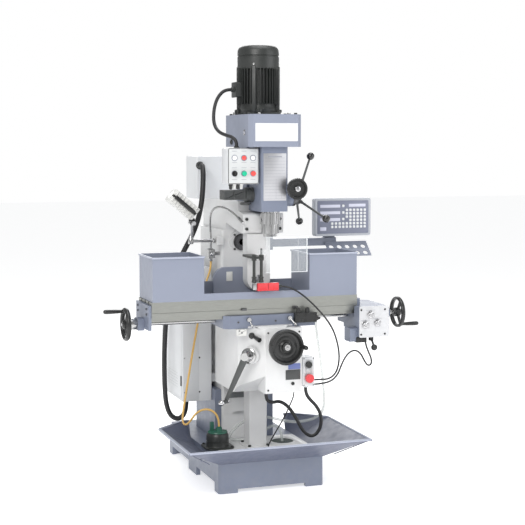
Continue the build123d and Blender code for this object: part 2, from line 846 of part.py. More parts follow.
def make_table_brackets():
    left = block(-584, -570.2, -436, -204, 772, 884)
    left = left + block(-612, -583, screw_y - 34, screw_y + 34, screw_z - 27, screw_z + 27)
    left = left + bar_x(-642, -611, screw_y, screw_z, 25) - bar_x(-643, -569, screw_y, screw_z, 11 + running)
    right = block(425.2, 441, -438, -202, 745, 880)
    right = right - bar_x(424, 442, screw_y, screw_z, 11.4)
    return left, right


def handwheel(x0, x1, outward):
    # dished wheel on the X axis with a crank handle near its rim
    rim = bar_x(x0, x1, screw_y, screw_z, 76) - bar_x(x0 - 1, x1 + 1, screw_y, screw_z, 60)
    wheel = rim + bar_x(x0 - 6, x1 + 6, screw_y, screw_z, 22)
    middle = (x0 + x1) / 2
    for turn in (0, 120, 240):
        angle = math.radians(turn + 30)
        end = (middle, screw_y + 66 * math.sin(angle), screw_z + 66 * math.cos(angle))
        wheel = wheel + rod((middle, screw_y, screw_z), end, 8)
    handle_y = screw_y - 38 * outward
    handle_z = screw_z - 55 * outward
    handle = bar_x(min(middle, middle + 95 * outward), max(middle, middle + 95 * outward), handle_y, handle_z, 10)
    return wheel + handle


def make_table_screw():
    screw = bar_x(-650, 688, screw_y, screw_z, 11)
    left = handwheel(-672, -650, -1)
    right = handwheel(680, 702, 1)
    return screw + left + right


def make_feed_gearbox():
    front = soften(block(409, 563, -500, -445, 702, 846), 8, Axis.Y)
    rear = block(441.2, 563, -446, -240, 720, 846)
    motor = soften(block(374, 441, -480, -410, 680, 744), 8, Axis.X)
    bore = bar_x(440, 564, screw_y, screw_z, 11 + running)
    neck = bar_x(563, 640, screw_y, screw_z, 26) - bar_x(562, 641, screw_y, screw_z, 11 + running)
    box = front + rear + motor - bore + neck
    for x, z in feed_knobs.values():
        box = box - bar_y(-501, -470, x, z, 6 + running)
    return box - bar_z(701, 722, feed_lever_x, feed_lever_y, 6 + running)


def make_feed_knob(x, z):
    knob = bar_y(-520, -500.4, x, z, 16) + bar_y(-501, -472, x, z, 6)
    return knob + block(x - 3, x + 3, -526, -519, z - 6, z + 20)


def make_feed_lever():
    hub = bar_z(682, 701.6, feed_lever_x, feed_lever_y, 12) + bar_z(701, 720, feed_lever_x, feed_lever_y, 6)
    end = (feed_lever_x - 5, -521, 656)
    return hub + rod((feed_lever_x, feed_lever_y - 6, 690), end, 5) + ball(*end, 15)


def splash_box(x0, x1):
    sheet = 2.5
    outer = block(x0, x1, table_front - 2, table_back + 2, table_top + 0.2, splash_top)
    inner = block(x0 + sheet, x1 - sheet, table_front + 0.5, table_back - 0.5, table_top + 2.7, splash_top + 1)
    rim = block(x0 - 4, x1 + 4, table_front - 6, table_back + 6, splash_top - 8, splash_top)
    return outer + rim - inner


def make_splash_guard():
    left = splash_box(-566, -326)
    right = splash_box(184, 422)
    front = block(-326, 184, table_front - 2, table_front + 0.5, table_top + 0.2, 930)
    back = block(-326, 184, table_back - 0.5, table_back + 2, table_top + 0.2, 960)
    arch = block(-215, -20, table_back - 22, table_back - 0.5, table_top + 0.2, 1025)
    arch = fillet(arch.edges().filter_by(Axis.Y).group_by(Axis.Z)[-1], 60)
    return left + right + front + back + arch


def make_coolant_tap():
    valve = block(-178, -146, -22, 12, 1052, 1094)
    stub = bar_x(-147, -column_x - 0.2, -5, 1073, 9)
    ferrule = bar_z(1036, 1053, -162, -5, 9)
    pipe = cord(nozzle_route, 10)
    tip = rod((-112, -290, 1259), (-106, -340, 1240), 7)
    return valve + stub + ferrule + pipe + tip


def make_coolant_pump():
    flange = soften(block(-258, -118, -262, -122, deck_z + 0.2, deck_z + 9), 30)
    body = bar_z(deck_z + 9, 232, -188, -192, 54)
    top = bar_z(232, 240, -188, -192, 46)
    neck = bar_z(240, 262, -183, -200, 15)
    valve = block(-222, -204, -190, -172, 239, 282)
    return flange + body + top + neck + valve


def hexagon_bolt(x, y, z, r, height, axis):
    head = extrude(RegularPolygon(r, 6), height)
    turns = {"z": Rot(0, 0, 0), "-y": Rot(90, 0, 0), "-x": Rot(0, -90, 0)}
    return Pos(x, y, z) * turns[axis] * head


def make_frame_bolts():
    bolts = []
    for x in (-54, 38):
        for y in (-276, -168):
            bolts.append(hexagon_bolt(x, y, deck_z + 10.1, 8, 8, "z"))
    for x in (-95, 120):
        for y in (-425, -285, -125):
            bolts.append(hexagon_bolt(x, y, lid_top + 0.1, 8, 7, "z"))
    for x in (-82, 82):
        for z in (1210, 1256):
            bolts.append(hexagon_bolt(x, -316.1, z, 8, 6, "-y"))
    for i in range(4):
        angle = math.radians(45 + 90 * i)
        x = arbor_x + 49 * math.cos(angle)
        z = arbor_z + 49 * math.sin(angle)
        bolts.append(hexagon_bolt(x, column_front - 14.1, z, 5.5, 5, "-y"))
    return bolts


def main():
    save("base", make_base())
    save("coolant_tray", make_tray())
    save("column", make_column())
    save("way_cover", make_way_cover())
    save("electrical_cabinets", *make_cabinets())
    save("overarm", make_overarm(), make_arbor_support())
    save("horizontal_spindle", make_horizontal_spindle())
    save("pedestal", make_pedestal())
    save("head_casting", make_head())
    save("gear_case", make_gear_case())
    save("gear_case_lid", make_gear_case_lid())
    save("motor", *make_motor())
    save("motor_pinion", make_motor_pinion())
    save("countershaft", make_countershaft())
    save("spindle_gear", make_spindle_gear())
    save("quill", make_quill())
    save("spindle", make_spindle())
    save("feed_capstan", make_feed_capstan())
    save("fine_feed_wheel", make_fine_feed_wheel())
    save("control_panel", *make_control_panel())
    save("start_button", make_push_button(panel_columns[1]))
    save("stop_button", make_push_button(panel_columns[2]))
    save("panel_selector", make_panel_selector())
    save("readout_arm", make_readout_arm())
    save("readout", make_readout())
    save("lamp_arm", make_lamp_arm())
    save("lamp_head", make_lamp_head())
    save("guard_post", *make_guard_post())
    save("guard_shield", make_guard_shield())
    save("knee", make_knee())
    save("control_box", make_control_box())
    save("speed_knob", make_speed_knob())
    save("estop_button", make_estop())
    save("knee_screw", make_knee_screw())
    save("knee_crank", make_knee_crank())
    save("cross_handwheel", make_cross_handwheel())
    save("saddle", make_saddle())
    save("lock_lever_left", make_lock_lever(lever_left, 8, -490))
    save("lock_lever_right", make_lock_lever(lever_right, 18, -496))
    save("limit_switch", make_limit_switch())
    save("table", make_table())
    save("table_brackets", *make_table_brackets())
    save("table_screw", make_table_screw())
    save("feed_gearbox", make_feed_gearbox())
    for place, (x, z) in feed_knobs.items():
        save(f"feed_knob_{place}", make_feed_knob(x, z))
    save("feed_lever", make_feed_lever())
    save("splash_guard", make_splash_guard())
    save("coolant_tap", make_coolant_tap())
    save("coolant_pump", make_coolant_pump())
    save("frame_bolts", *make_frame_bolts())
    save_cord("motor_lead", motor_lead_route, 16)
    save_cord("head_conduit", head_conduit_route, 25)
    save_cord("coolant_hose", coolant_hose_route, 10)
    save_cord("drain_hose", drain_hose_route, 14)
    save_cord("guard_cable", guard_cable_route, 8)
    save_cord("feed_cable", feed_cable_route, 8)
    save_cord("control_conduit", control_conduit_route, 16)
    save_cord("knee_lead", knee_lead_route, 6)


main()
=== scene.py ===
import math

import bmesh
import bpy
from mathutils import Matrix, Vector


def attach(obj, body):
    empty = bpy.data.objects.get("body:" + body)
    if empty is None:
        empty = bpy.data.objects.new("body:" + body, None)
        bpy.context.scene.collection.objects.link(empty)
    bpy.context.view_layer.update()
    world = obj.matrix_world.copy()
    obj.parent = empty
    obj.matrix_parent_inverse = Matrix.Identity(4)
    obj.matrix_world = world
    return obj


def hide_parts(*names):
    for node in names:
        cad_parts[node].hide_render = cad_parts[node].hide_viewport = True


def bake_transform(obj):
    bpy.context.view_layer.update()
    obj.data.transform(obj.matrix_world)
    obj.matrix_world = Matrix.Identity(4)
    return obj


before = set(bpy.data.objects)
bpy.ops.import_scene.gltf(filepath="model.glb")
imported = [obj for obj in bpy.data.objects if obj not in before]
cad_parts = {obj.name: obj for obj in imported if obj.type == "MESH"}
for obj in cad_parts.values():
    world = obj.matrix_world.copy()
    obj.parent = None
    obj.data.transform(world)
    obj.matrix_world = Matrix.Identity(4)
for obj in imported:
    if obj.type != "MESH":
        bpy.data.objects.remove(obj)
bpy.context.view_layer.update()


# Tools for making meshes

def clearSelection():
    bpy.ops.object.select_all(action="DESELECT")


def pickOnly(piece):
    clearSelection()
    piece.select_set(True)
    bpy.context.view_layer.objects.active = piece


def bakePlace(piece):
    pickOnly(piece)
    bpy.ops.object.transform_apply(location=True, rotation=True, scale=True)
    return piece


def editFaces(piece, test):
    # opens the piece in edit mode with just the faces that pass the test picked
    pickOnly(piece)
    bpy.ops.object.mode_set(mode="EDIT")
    bpy.ops.mesh.select_mode(type="FACE")
    bpy.ops.mesh.select_all(action="DESELECT")
    mesh = bmesh.from_edit_mesh(piece.data)
    for face in mesh.faces:
        if test(face):
            face.select_set(True)
    bmesh.update_edit_mesh(piece.data)


def leaveEdit():
    bpy.ops.object.mode_set(mode="OBJECT")


def bevelEdges(piece, test, width, segments=4):
    # rounds only the edges that pass the test
    pickOnly(piece)
    bpy.ops.object.mode_set(mode="EDIT")
    bpy.ops.mesh.select_mode(type="EDGE")
    bpy.ops.mesh.select_all(action="DESELECT")
    mesh = bmesh.from_edit_mesh(piece.data)
    for edge in mesh.edges:
        if test(edge):
            edge.select_set(True)
    bmesh.update_edit_mesh(piece.data)
    bpy.ops.mesh.bevel(offset=width, segments=segments, affect="EDGES")
    leaveEdit()
    return piece


def edgeRuns(axis):
    # true for edges that run along one axis
    def test(edge):
        run = (edge.verts[1].co - edge.verts[0].co).normalized()
        return abs(run[axis]) > 0.99
    return test


def facing(direction):
    way = Vector(direction)
    return lambda face: face.normal.dot(way) > 0.99


def insetFaces(piece, test, margin, depth):
    editFaces(piece, test)
    bpy.ops.mesh.inset(thickness=margin, depth=depth)
    leaveEdit()
    return piece


def softEdges(piece, width=0.0012, segments=2, angle=35):
    pickOnly(piece)
    edge = piece.modifiers.new("edge", "BEVEL")
    edge.width = width
    edge.segments = segments
    edge.limit_method = "ANGLE"
    edge.angle_limit = math.radians(30)
    bpy.ops.object.modifier_apply(modifier="edge")
    bpy.ops.object.shade_smooth_by_angle(angle=math.radians(angle))
    return piece


def startBlock(name, low, high):
    clearSelection()
    low, high = Vector(low), Vector(high)
    bpy.ops.mesh.primitive_cube_add(size=1, location=(low + high) / 2)
    piece = bpy.context.object
    piece.name = name
    piece.scale = high - low
    return bakePlace(piece)


def plate(name, low, high, round=0.0008):
    return softEdges(startBlock(name, low, high), round)


def turned(name, origin, axis, profile, sides=48, angle=35):
    # a round piece drawn up step by step from (distance along the axis, radius) pairs
    clearSelection()
    place, size = profile[0]
    bpy.ops.mesh.primitive_circle_add(vertices=sides, radius=size, fill_type="NGON", location=(0, 0, place))
    piece = bakePlace(bpy.context.object)
    piece.name = name
    bpy.ops.object.mode_set(mode="EDIT")
    bpy.ops.mesh.select_all(action="SELECT")
    for nextPlace, nextSize in profile[1:]:
        bpy.ops.mesh.extrude_region_move(TRANSFORM_OT_translate={"value": (0, 0, nextPlace - place)})
        grow = nextSize / size
        bpy.ops.transform.resize(value=(grow, grow, 1), center_override=(0, 0, nextPlace))
        place, size = nextPlace, nextSize
    bpy.ops.mesh.select_all(action="SELECT")
    bpy.ops.mesh.normals_make_consistent(inside=False)
    leaveEdit()
    piece.rotation_mode = "QUATERNION"
    piece.rotation_quaternion = Vector(axis).to_track_quat("Z", "Y")
    piece.location = origin
    bakePlace(piece)
    bpy.ops.object.shade_smooth_by_angle(angle=math.radians(angle))
    return piece


def bar(name, start, end, radius, sides=24, tip=None, round=0.0008):
    # straight round bar, tapered when a tip radius is given
    run = Vector(end) - Vector(start)
    ends = [(0, radius - round), (round, radius)]
    tip = tip or radius
    ends += [(run.length - round, tip), (run.length, tip - round)]
    return turned(name, start, run, ends, sides)


def knob(name, centre, radius, sides=24):
    clearSelection()
    bpy.ops.mesh.primitive_uv_sphere_add(segments=sides, ring_count=sides // 2, radius=radius,
        location=centre)
    piece = bakePlace(bpy.context.object)
    piece.name = name
    bpy.ops.object.shade_smooth()
    return piece


def ringOf(piece, count, centre, axis="Z", start=0, sweep=360):
    # copies of one piece spread round a centre, joined into one
    copies = []
    step = sweep / count
    for i in range(count):
        turn = Matrix.Rotation(math.radians(start + step * i), 4, axis)
        about = Matrix.Translation(centre) @ turn @ Matrix.Translation(-Vector(centre))
        copy = piece.copy()
        copy.data = piece.data.copy()
        copy.data.transform(about)
        bpy.context.scene.collection.objects.link(copy)
        copies.append(copy)
    name = piece.name
    bpy.data.objects.remove(piece)
    return joined(name, copies)


def copiesAt(piece, shifts):
    # copies of one piece at several shifts, joined into one
    copies = []
    for shift in shifts:
        copy = piece.copy()
        copy.data = piece.data.copy()
        copy.data.transform(Matrix.Translation(shift))
        bpy.context.scene.collection.objects.link(copy)
        copies.append(copy)
    name = piece.name
    bpy.data.objects.remove(piece)
    return joined(name, copies)


def joined(name, parts):
    clearSelection()
    for part in parts:
        part.select_set(True)
    bpy.context.view_layer.objects.active = parts[0]
    if len(parts) > 1:
        bpy.ops.object.join()
    whole = bpy.context.view_layer.objects.active
    whole.name = name
    return whole


def turnAbout(piece, centre, axis, degrees):
    turn = Matrix.Rotation(math.radians(degrees), 4, Vector(axis))
    piece.data.transform(Matrix.Translation(centre) @ turn @ Matrix.Translation(-Vector(centre)))
    return piece


def cutThrough(piece, cutter):
    pickOnly(piece)
    hole = piece.modifiers.new("hole", "BOOLEAN")
    hole.object = cutter
    hole.solver = "EXACT"
    bpy.ops.object.modifier_apply(modifier="hole")
    bpy.data.objects.remove(cutter)
    return piece


def fit(piece, body, finish, slot, *replaced):
    piece.data.materials.clear()
    piece.data.materials.append(finishes[finish])
    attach(piece, body)
    if replaced:
        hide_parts(*replaced)
    return piece


# Shader groups that the finishes share

def newGroup(name, inputs, outputs):
    group = bpy.data.node_groups.new(name, "ShaderNodeTree")
    for label, kind, value in inputs:
        socket = group.interface.new_socket(label, in_out="INPUT", socket_type=kind)
        if value is not None:
            socket.default_value = value
    for label, kind in outputs:
        group.interface.new_socket(label, in_out="OUTPUT", socket_type=kind)
    source = group.nodes.new("NodeGroupInput")
    sink = group.nodes.new("NodeGroupOutput")
    return group, source, sink


def noiseIn(group, place, scale, detail=3.0, rough=0.55):
    noise = group.nodes.new("ShaderNodeTexNoise")
    noise.inputs["Detail"].default_value = detail
    noise.inputs["Roughness"].default_value = rough
    group.links.new(place, noise.inputs["Vector"])
    if isinstance(scale, (int, float)):
        noise.inputs["Scale"].default_value = scale
    else:
        group.links.new(scale, noise.inputs["Scale"])
    return noise.outputs["Fac"]


def mapRange(group, value, low, high, toLow, toHigh):
    ranged = group.nodes.new("ShaderNodeMapRange")
    ranged.inputs["From Min"].default_value = low
    ranged.inputs["From Max"].default_value = high
    group.links.new(value, ranged.inputs["Value"])
    for label, given in (("To Min", toLow), ("To Max", toHigh)):
        if isinstance(given, (int, float)):
            ranged.inputs[label].default_value = given
        else:
            group.links.new(given, ranged.inputs[label])
    return ranged.outputs["Result"]


def blendColour(group, share, first, second):
    mix = group.nodes.new("ShaderNodeMix")
    mix.data_type = "RGBA"
    group.links.new(share, mix.inputs["Factor"])
    group.links.new(first, mix.inputs["A"])
    group.links.new(second, mix.inputs["B"])
    return mix.outputs["Result"]


def makePaintSkin():
    # sprayed paint: fine orange peel, faint patches, a rougher bloom here and there
    group, source, sink = newGroup(
        "paintSkin",
        [("Place", "NodeSocketVector", None), ("Colour", "NodeSocketColor", (0.5, 0.5, 0.5, 1)),
         ("Patch Colour", "NodeSocketColor", (0.4, 0.4, 0.4, 1)), ("Peel Size", "NodeSocketFloat", 420.0),
         ("Smoothest", "NodeSocketFloat", 0.3), ("Roughest", "NodeSocketFloat", 0.5)],
        [("Colour", "NodeSocketColor"), ("Roughness", "NodeSocketFloat"), ("Height", "NodeSocketFloat")])
    given = source.outputs
    patches = noiseIn(group, given["Place"], 5.0, 5.0)
    share = mapRange(group, patches, 0.35, 0.75, 0.0, 1.0)
    peel = noiseIn(group, given["Place"], given["Peel Size"], 2.0)
    bloom = noiseIn(group, given["Place"], 28.0, 4.0)
    group.links.new(blendColour(group, share, given["Colour"], given["Patch Colour"]),
        sink.inputs["Colour"])
    group.links.new(mapRange(group, bloom, 0.3, 0.7, given["Smoothest"], given["Roughest"]),
        sink.inputs["Roughness"])
    group.links.new(peel, sink.inputs["Height"])
    return group


def makeGroundSkin():
    # machined metal: fine lines along one way, set by the mapping before it
    group, source, sink = newGroup(
        "groundSkin",
        [("Place", "NodeSocketVector", None), ("Line Place", "NodeSocketVector", None),
         ("Colour", "NodeSocketColor", (0.6, 0.6, 0.6, 1)),
         ("Line Colour", "NodeSocketColor", (0.4, 0.4, 0.4, 1)),
         ("Smoothest", "NodeSocketFloat", 0.2), ("Roughest", "NodeSocketFloat", 0.45)],
        [("Colour", "NodeSocketColor"), ("Roughness", "NodeSocketFloat"), ("Height", "NodeSocketFloat")])
    given = source.outputs
    lines = noiseIn(group, given["Line Place"], 60.0, 4.0, 0.65)
    stains = noiseIn(group, given["Place"], 9.0, 5.0)
    lineShare = mapRange(group, lines, 0.3, 0.75, 0.0, 1.0)
    group.links.new(blendColour(group, lineShare, given["Colour"], given["Line Colour"]),
        sink.inputs["Colour"])
    group.links.new(mapRange(group, stains, 0.3, 0.7, given["Smoothest"], given["Roughest"]),
        sink.inputs["Roughness"])
    group.links.new(lines, sink.inputs["Height"])
    return group


def makeDust():
    # chips and coolant stains that gather low down on the machine
    group, source, sink = newGroup(
        "shopDust",
        [("Place", "NodeSocketVector", None), ("Colour", "NodeSocketColor", (0.5, 0.5, 0.5, 1)),
         ("Dust Colour", "NodeSocketColor", (0.3, 0.29, 0.27, 1)), ("Reach", "NodeSocketFloat", 0.25),
         ("Amount", "NodeSocketFloat", 0.3)],
        [("Colour", "NodeSocketColor")])
    given = source.outputs
    split = group.nodes.new("ShaderNodeSeparateXYZ")
    group.links.new(given["Place"], split.inputs["Vector"])
    low = group.nodes.new("ShaderNodeMapRange")
    group.links.new(split.outputs["Z"], low.inputs["Value"])
    low.inputs["From Min"].default_value = 0.0
    group.links.new(given["Reach"], low.inputs["From Max"])
    group.links.new(given["Amount"], low.inputs["To Min"])
    low.inputs["To Max"].default_value = 0.0
    specks = mapRange(group, noiseIn(group, given["Place"], 35.0, 6.0, 0.7), 0.42, 0.7, 0.0, 1.0)
    share = group.nodes.new("ShaderNodeMath")
    share.operation = "MULTIPLY"
    group.links.new(low.outputs["Result"], share.inputs[0])
    group.links.new(specks, share.inputs[1])
    group.links.new(blendColour(group, share.outputs[0], given["Colour"], given["Dust Colour"]),
        sink.inputs["Colour"])
    return group


paintSkin = makePaintSkin()
groundSkin = makeGroundSkin()
shopDust = makeDust()


# Finishes, by name

def startFinish(name):
    finish = bpy.data.materials.new(name)
    finish.use_nodes = True
    nodes = finish.node_tree.nodes
    nodes.clear()
    shader = nodes.new("ShaderNodeBsdfPrincipled")
    sink = nodes.new("ShaderNodeOutputMaterial")
    place = nodes.new("ShaderNodeTexCoord")
    finish.node_tree.links.new(shader.outputs["BSDF"], sink.inputs["Surface"])
    return finish, finish.node_tree, shader, place.outputs["Object"]


def useGroup(tree, group, place, **values):
    node = tree.nodes.new("ShaderNodeGroup")
    node.node_tree = group
    tree.links.new(place, node.inputs["Place"])
    for label, value in values.items():
        socket = node.inputs[label.replace("_", " ")]
        socket.default_value = (*value, 1) if isinstance(value, tuple) else value
    return node


def bumpFrom(tree, height, shader, strength, distance):
    bump = tree.nodes.new("ShaderNodeBump")
    bump.inputs["Strength"].default_value = strength
    bump.inputs["Distance"].default_value = distance
    tree.links.new(height, bump.inputs["Height"])
    tree.links.new(bump.outputs["Normal"], shader.inputs["Normal"])


def painted(name, colour, patch, smooth=0.28, rough=0.46, peel=420.0, bump=0.25, coat=0.0, dust=0.0):
    finish, tree, shader, place = startFinish(name)
    skin = useGroup(tree, paintSkin, place, Colour=colour, Patch_Colour=patch, Peel_Size=peel,
        Smoothest=smooth, Roughest=rough)
    result = skin.outputs["Colour"]
    if dust:
        layer = useGroup(tree, shopDust, place, Amount=dust)
        tree.links.new(result, layer.inputs["Colour"])
        result = layer.outputs["Colour"]
    tree.links.new(result, shader.inputs["Base Color"])
    tree.links.new(skin.outputs["Roughness"], shader.inputs["Roughness"])
    shader.inputs["Coat Weight"].default_value = coat
    shader.inputs["Coat Roughness"].default_value = 0.15
    bumpFrom(tree, skin.outputs["Height"], shader, bump, 0.0004)
    return finish


def machined(name, colour, line, smooth=0.18, rough=0.36, along=(1, 1, 1), bump=0.2):
    # along holds how much each axis is squeezed: small along the lines
    finish, tree, shader, place = startFinish(name)
    squeeze = tree.nodes.new("ShaderNodeMapping")
    squeeze.inputs["Scale"].default_value = along
    tree.links.new(place, squeeze.inputs["Vector"])
    skin = useGroup(tree, groundSkin, place, Colour=colour, Line_Colour=line, Smoothest=smooth,
        Roughest=rough)
    tree.links.new(squeeze.outputs["Vector"], skin.inputs["Line Place"])
    tree.links.new(skin.outputs["Colour"], shader.inputs["Base Color"])
    tree.links.new(skin.outputs["Roughness"], shader.inputs["Roughness"])
    shader.inputs["Metallic"].default_value = 1.0
    bumpFrom(tree, skin.outputs["Height"], shader, bump, 0.0003)
    return finish


def clearSheet(name, colour, alpha):
    finish, tree, shader, place = startFinish(name)
    skin = useGroup(tree, paintSkin, place, Colour=colour,
        Patch_Colour=tuple(value * 0.94 for value in colour), Peel_Size=60.0, Smoothest=0.04, Roughest=0.12)
    tree.links.new(skin.outputs["Colour"], shader.inputs["Base Color"])
    tree.links.new(skin.outputs["Roughness"], shader.inputs["Roughness"])
    shader.inputs["Alpha"].default_value = alpha
    shader.inputs["IOR"].default_value = 1.49
    return finish


def lit(name, colour, glow):
    finish, tree, shader, place = startFinish(name)
    skin = useGroup(tree, paintSkin, place, Colour=colour,
        Patch_Colour=tuple(value * 0.92 for value in colour), Peel_Size=200.0, Smoothest=0.1, Roughest=0.2)
    tree.links.new(skin.outputs["Colour"], shader.inputs["Base Color"])
    tree.links.new(skin.outputs["Roughness"], shader.inputs["Roughness"])
    tree.links.new(skin.outputs["Colour"], shader.inputs["Emission Color"])
    shader.inputs["Emission Strength"].default_value = glow
    return finish


finishes = {
    "castWhite": painted("castWhite", (0.74, 0.745, 0.75), (0.68, 0.68, 0.68), 0.32, 0.5, 300.0, 0.35,
    dust=0.25),
    "panelWhite": painted("panelWhite", (0.72, 0.735, 0.75), (0.68, 0.69, 0.71), 0.3, 0.42, 500.0, 0.12),
    "slatePaint": painted("slatePaint", (0.195, 0.220, 0.290), (0.170, 0.194, 0.262), 0.3, 0.46, 380.0,
    0.25, dust=0.2),
    "splashPaint": painted("splashPaint", (0.265, 0.290, 0.368), (0.245, 0.270, 0.345), 0.3, 0.42, 520.0,
    0.12),
    "trayPaint": painted("trayPaint", (0.140, 0.155, 0.215), (0.11, 0.122, 0.175), 0.3, 0.5, 320.0, 0.3,
    dust=0.35),
    "ribbedRubber": painted("ribbedRubber", (0.22, 0.23, 0.24), (0.17, 0.18, 0.19), 0.6, 0.8, 700.0, 0.4),
    "blackEnamel": painted("blackEnamel", (0.035, 0.038, 0.036), (0.022, 0.024, 0.023), 0.3, 0.48, 260.0,
    0.4),
    "blackPlastic": painted("blackPlastic", (0.022, 0.023, 0.023), (0.015, 0.015, 0.015), 0.22, 0.38, 900.0,
    0.15),
    "handleGrey": painted("handleGrey", (0.075, 0.08, 0.08), (0.05, 0.052, 0.052), 0.3, 0.5, 260.0, 0.4),
    "blackSheath": painted("blackSheath", (0.022, 0.022, 0.024), (0.014, 0.014, 0.015), 0.4, 0.6, 800.0,
    0.3),
    "bezelGrey": painted("bezelGrey", (0.46, 0.48, 0.52), (0.43, 0.45, 0.49), 0.4, 0.52, 900.0, 0.3),
    "faceSlate": painted("faceSlate", (0.20, 0.215, 0.285), (0.18, 0.195, 0.26), 0.35, 0.5, 700.0, 0.12),
    "keyWhite": painted("keyWhite", (0.74, 0.75, 0.76), (0.70, 0.71, 0.72), 0.35, 0.45, 800.0, 0.1),
    "armGrey": painted("armGrey", (0.25, 0.27, 0.33), (0.21, 0.23, 0.29), 0.35, 0.5, 480.0, 0.3),
    "lampWhite": painted("lampWhite", (0.74, 0.74, 0.72), (0.68, 0.68, 0.66), 0.35, 0.5, 700.0, 0.15),
    "redPlastic": painted("redPlastic", (0.72, 0.045, 0.055), (0.60, 0.03, 0.04), 0.2, 0.35, 700.0, 0.12,
    coat=0.3),
    "pumpGreen": painted("pumpGreen", (0.03, 0.14, 0.095), (0.02, 0.10, 0.07), 0.3, 0.5, 300.0, 0.35),
    "yellowHose": painted("yellowHose", (0.78, 0.50, 0.16), (0.70, 0.42, 0.11), 0.25, 0.4, 500.0, 0.15,
    coat=0.2),
    "brightSteel": machined("brightSteel", (0.56, 0.56, 0.56), (0.36, 0.36, 0.36), 0.14, 0.3, (6, 6, 6),
    0.12),
    "chromed": machined("chromed", (0.64, 0.64, 0.65), (0.44, 0.44, 0.45), 0.05, 0.12, (8, 8, 1), 0.05),
    "quillSteel": machined("quillSteel", (0.72, 0.72, 0.72), (0.10, 0.10, 0.105), 0.1, 0.22, (3, 3, 0.1),
    0.1),
    "groundIron": machined("groundIron", (0.40, 0.405, 0.38), (0.29, 0.295, 0.275), 0.28, 0.48,
    (0.6, 14, 26), 0.25),
    "plateSilver": machined("plateSilver", (0.58, 0.58, 0.60), (0.52, 0.52, 0.54), 0.34, 0.48, (18, 4, 1),
    0.12),
    "darkMetal": machined("darkMetal", (0.16, 0.16, 0.165), (0.10, 0.10, 0.105), 0.3, 0.5, (4, 4, 4), 0.2),
    "clearGuard": clearSheet("clearGuard", (0.88, 0.92, 0.94), 0.13),
    # the clear guard's edges, whiter and more opaque than its face: a painted highlight
    "guardEdgeHighlight": clearSheet("guardEdgeHighlight", (0.93, 0.96, 0.98), 0.55),
    "clearHose": clearSheet("clearHose", (0.72, 0.76, 0.74), 0.42),
    "lensWhite": lit("lensWhite", (0.86, 0.86, 0.84), 0.25),
    "lensRed": lit("lensRed", (0.80, 0.09, 0.08), 0.15),
    "lensGreen": lit("lensGreen", (0.02, 0.48, 0.27), 0.1),
    "windowGrey": painted("windowGrey", (0.62, 0.63, 0.74), (0.58, 0.59, 0.70), 0.12, 0.2, 900.0, 0.05),
    "ruleGrey": painted("ruleGrey", (0.30, 0.31, 0.35), (0.26, 0.27, 0.31), 0.4, 0.5, 900.0, 0.05),
    "panelFace": painted("panelFace", (0.62, 0.635, 0.64), (0.59, 0.605, 0.61), 0.3, 0.42, 600.0, 0.1),
    "glossBlack": painted("glossBlack", (0.012, 0.012, 0.012), (0.008, 0.008, 0.008), 0.06, 0.14, 700.0,
    0.05, coat=0.6),
    "plateWhite": painted("plateWhite", (0.64, 0.645, 0.66), (0.60, 0.605, 0.62), 0.2, 0.32, 700.0, 0.1),
    "plateBlue": painted("plateBlue", (0.16, 0.20, 0.46), (0.13, 0.17, 0.40), 0.3, 0.4, 700.0, 0.1),
    "gridGreen": painted("gridGreen", (0.06, 0.09, 0.075), (0.04, 0.06, 0.05), 0.4, 0.6, 400.0, 0.3),
    # lighter slate for the tray's rolled lip and the splash boxes' rims: a painted highlight
    "lipHighlightPaint": painted("lipHighlightPaint", (0.42, 0.45, 0.54), (0.38, 0.41, 0.50), 0.28, 0.4, 520.0, 0.12),
}
print("finishes made")


# Camera, lights and floor

cameraSettings = {
    "place": (-1.9665, -5.9698, 1.600),
    "turn": 19.03,      # degrees to the right of straight on
    "dip": 4.15,        # degrees below level
    "lens": 87.91,
    "shift": (0.00495, -0.0463),
}


def makeCamera(made):
    data = bpy.data.cameras.new("camera")
    data.lens = made["lens"]
    data.sensor_width = 36
    data.shift_x, data.shift_y = made["shift"]
    camera = bpy.data.objects.new("camera", data)
    camera.location = made["place"]
    camera.rotation_euler = (math.radians(90 - made["dip"]), 0, math.radians(-made["turn"]))
    bpy.context.scene.collection.objects.link(camera)
    bpy.context.scene.camera = camera


lightSettings = [
    # name, place, aimed at, size, power, colour
    ("keyLight", (-3.4, -4.6, 4.2), (0, -0.2, 1.0), 3.0, 190, (1.0, 0.99, 0.97)),
    ("fillLight", (4.2, -3.6, 2.6), (0, -0.2, 1.0), 3.4, 75, (0.97, 0.98, 1.0)),
    ("topLight", (0.2, -0.6, 5.2), (0, -0.2, 0.8), 3.2, 105, (1.0, 1.0, 1.0)),
    ("backLight", (1.5, 4.2, 3.2), (0, 0, 1.2), 3.0, 90, (1.0, 1.0, 1.0)),
]


def makeLights(made):
    for name, place, target, size, power, colour in made:
        data = bpy.data.lights.new(name, "AREA")
        data.size = size
        data.energy = power
        data.color = colour
        light = bpy.data.objects.new(name, data)
        light.location = place
        light.rotation_euler = (Vector(target) - Vector(place)).to_track_quat("-Z", "Y").to_euler()
        bpy.context.scene.collection.objects.link(light)
    world = bpy.data.worlds.new("room")
    world.use_nodes = True
    tree = world.node_tree
    room, output = tree.nodes["Background"], tree.nodes["World Output"]
    room.inputs["Color"].default_value = (0.95, 0.96, 0.97, 1)
    room.inputs["Strength"].default_value = 0.46
    backdrop = tree.nodes.new("ShaderNodeBackground")
    backdrop.inputs["Color"].default_value = (1, 1, 1, 1)
    seen = tree.nodes.new("ShaderNodeLightPath")
    either = tree.nodes.new("ShaderNodeMixShader")
    tree.links.new(seen.outputs["Is Camera Ray"], either.inputs["Fac"])
    tree.links.new(room.outputs[0], either.inputs[1])
    tree.links.new(backdrop.outputs[0], either.inputs[2])
    tree.links.new(either.outputs[0], output.inputs["Surface"])
    bpy.context.scene.world = world


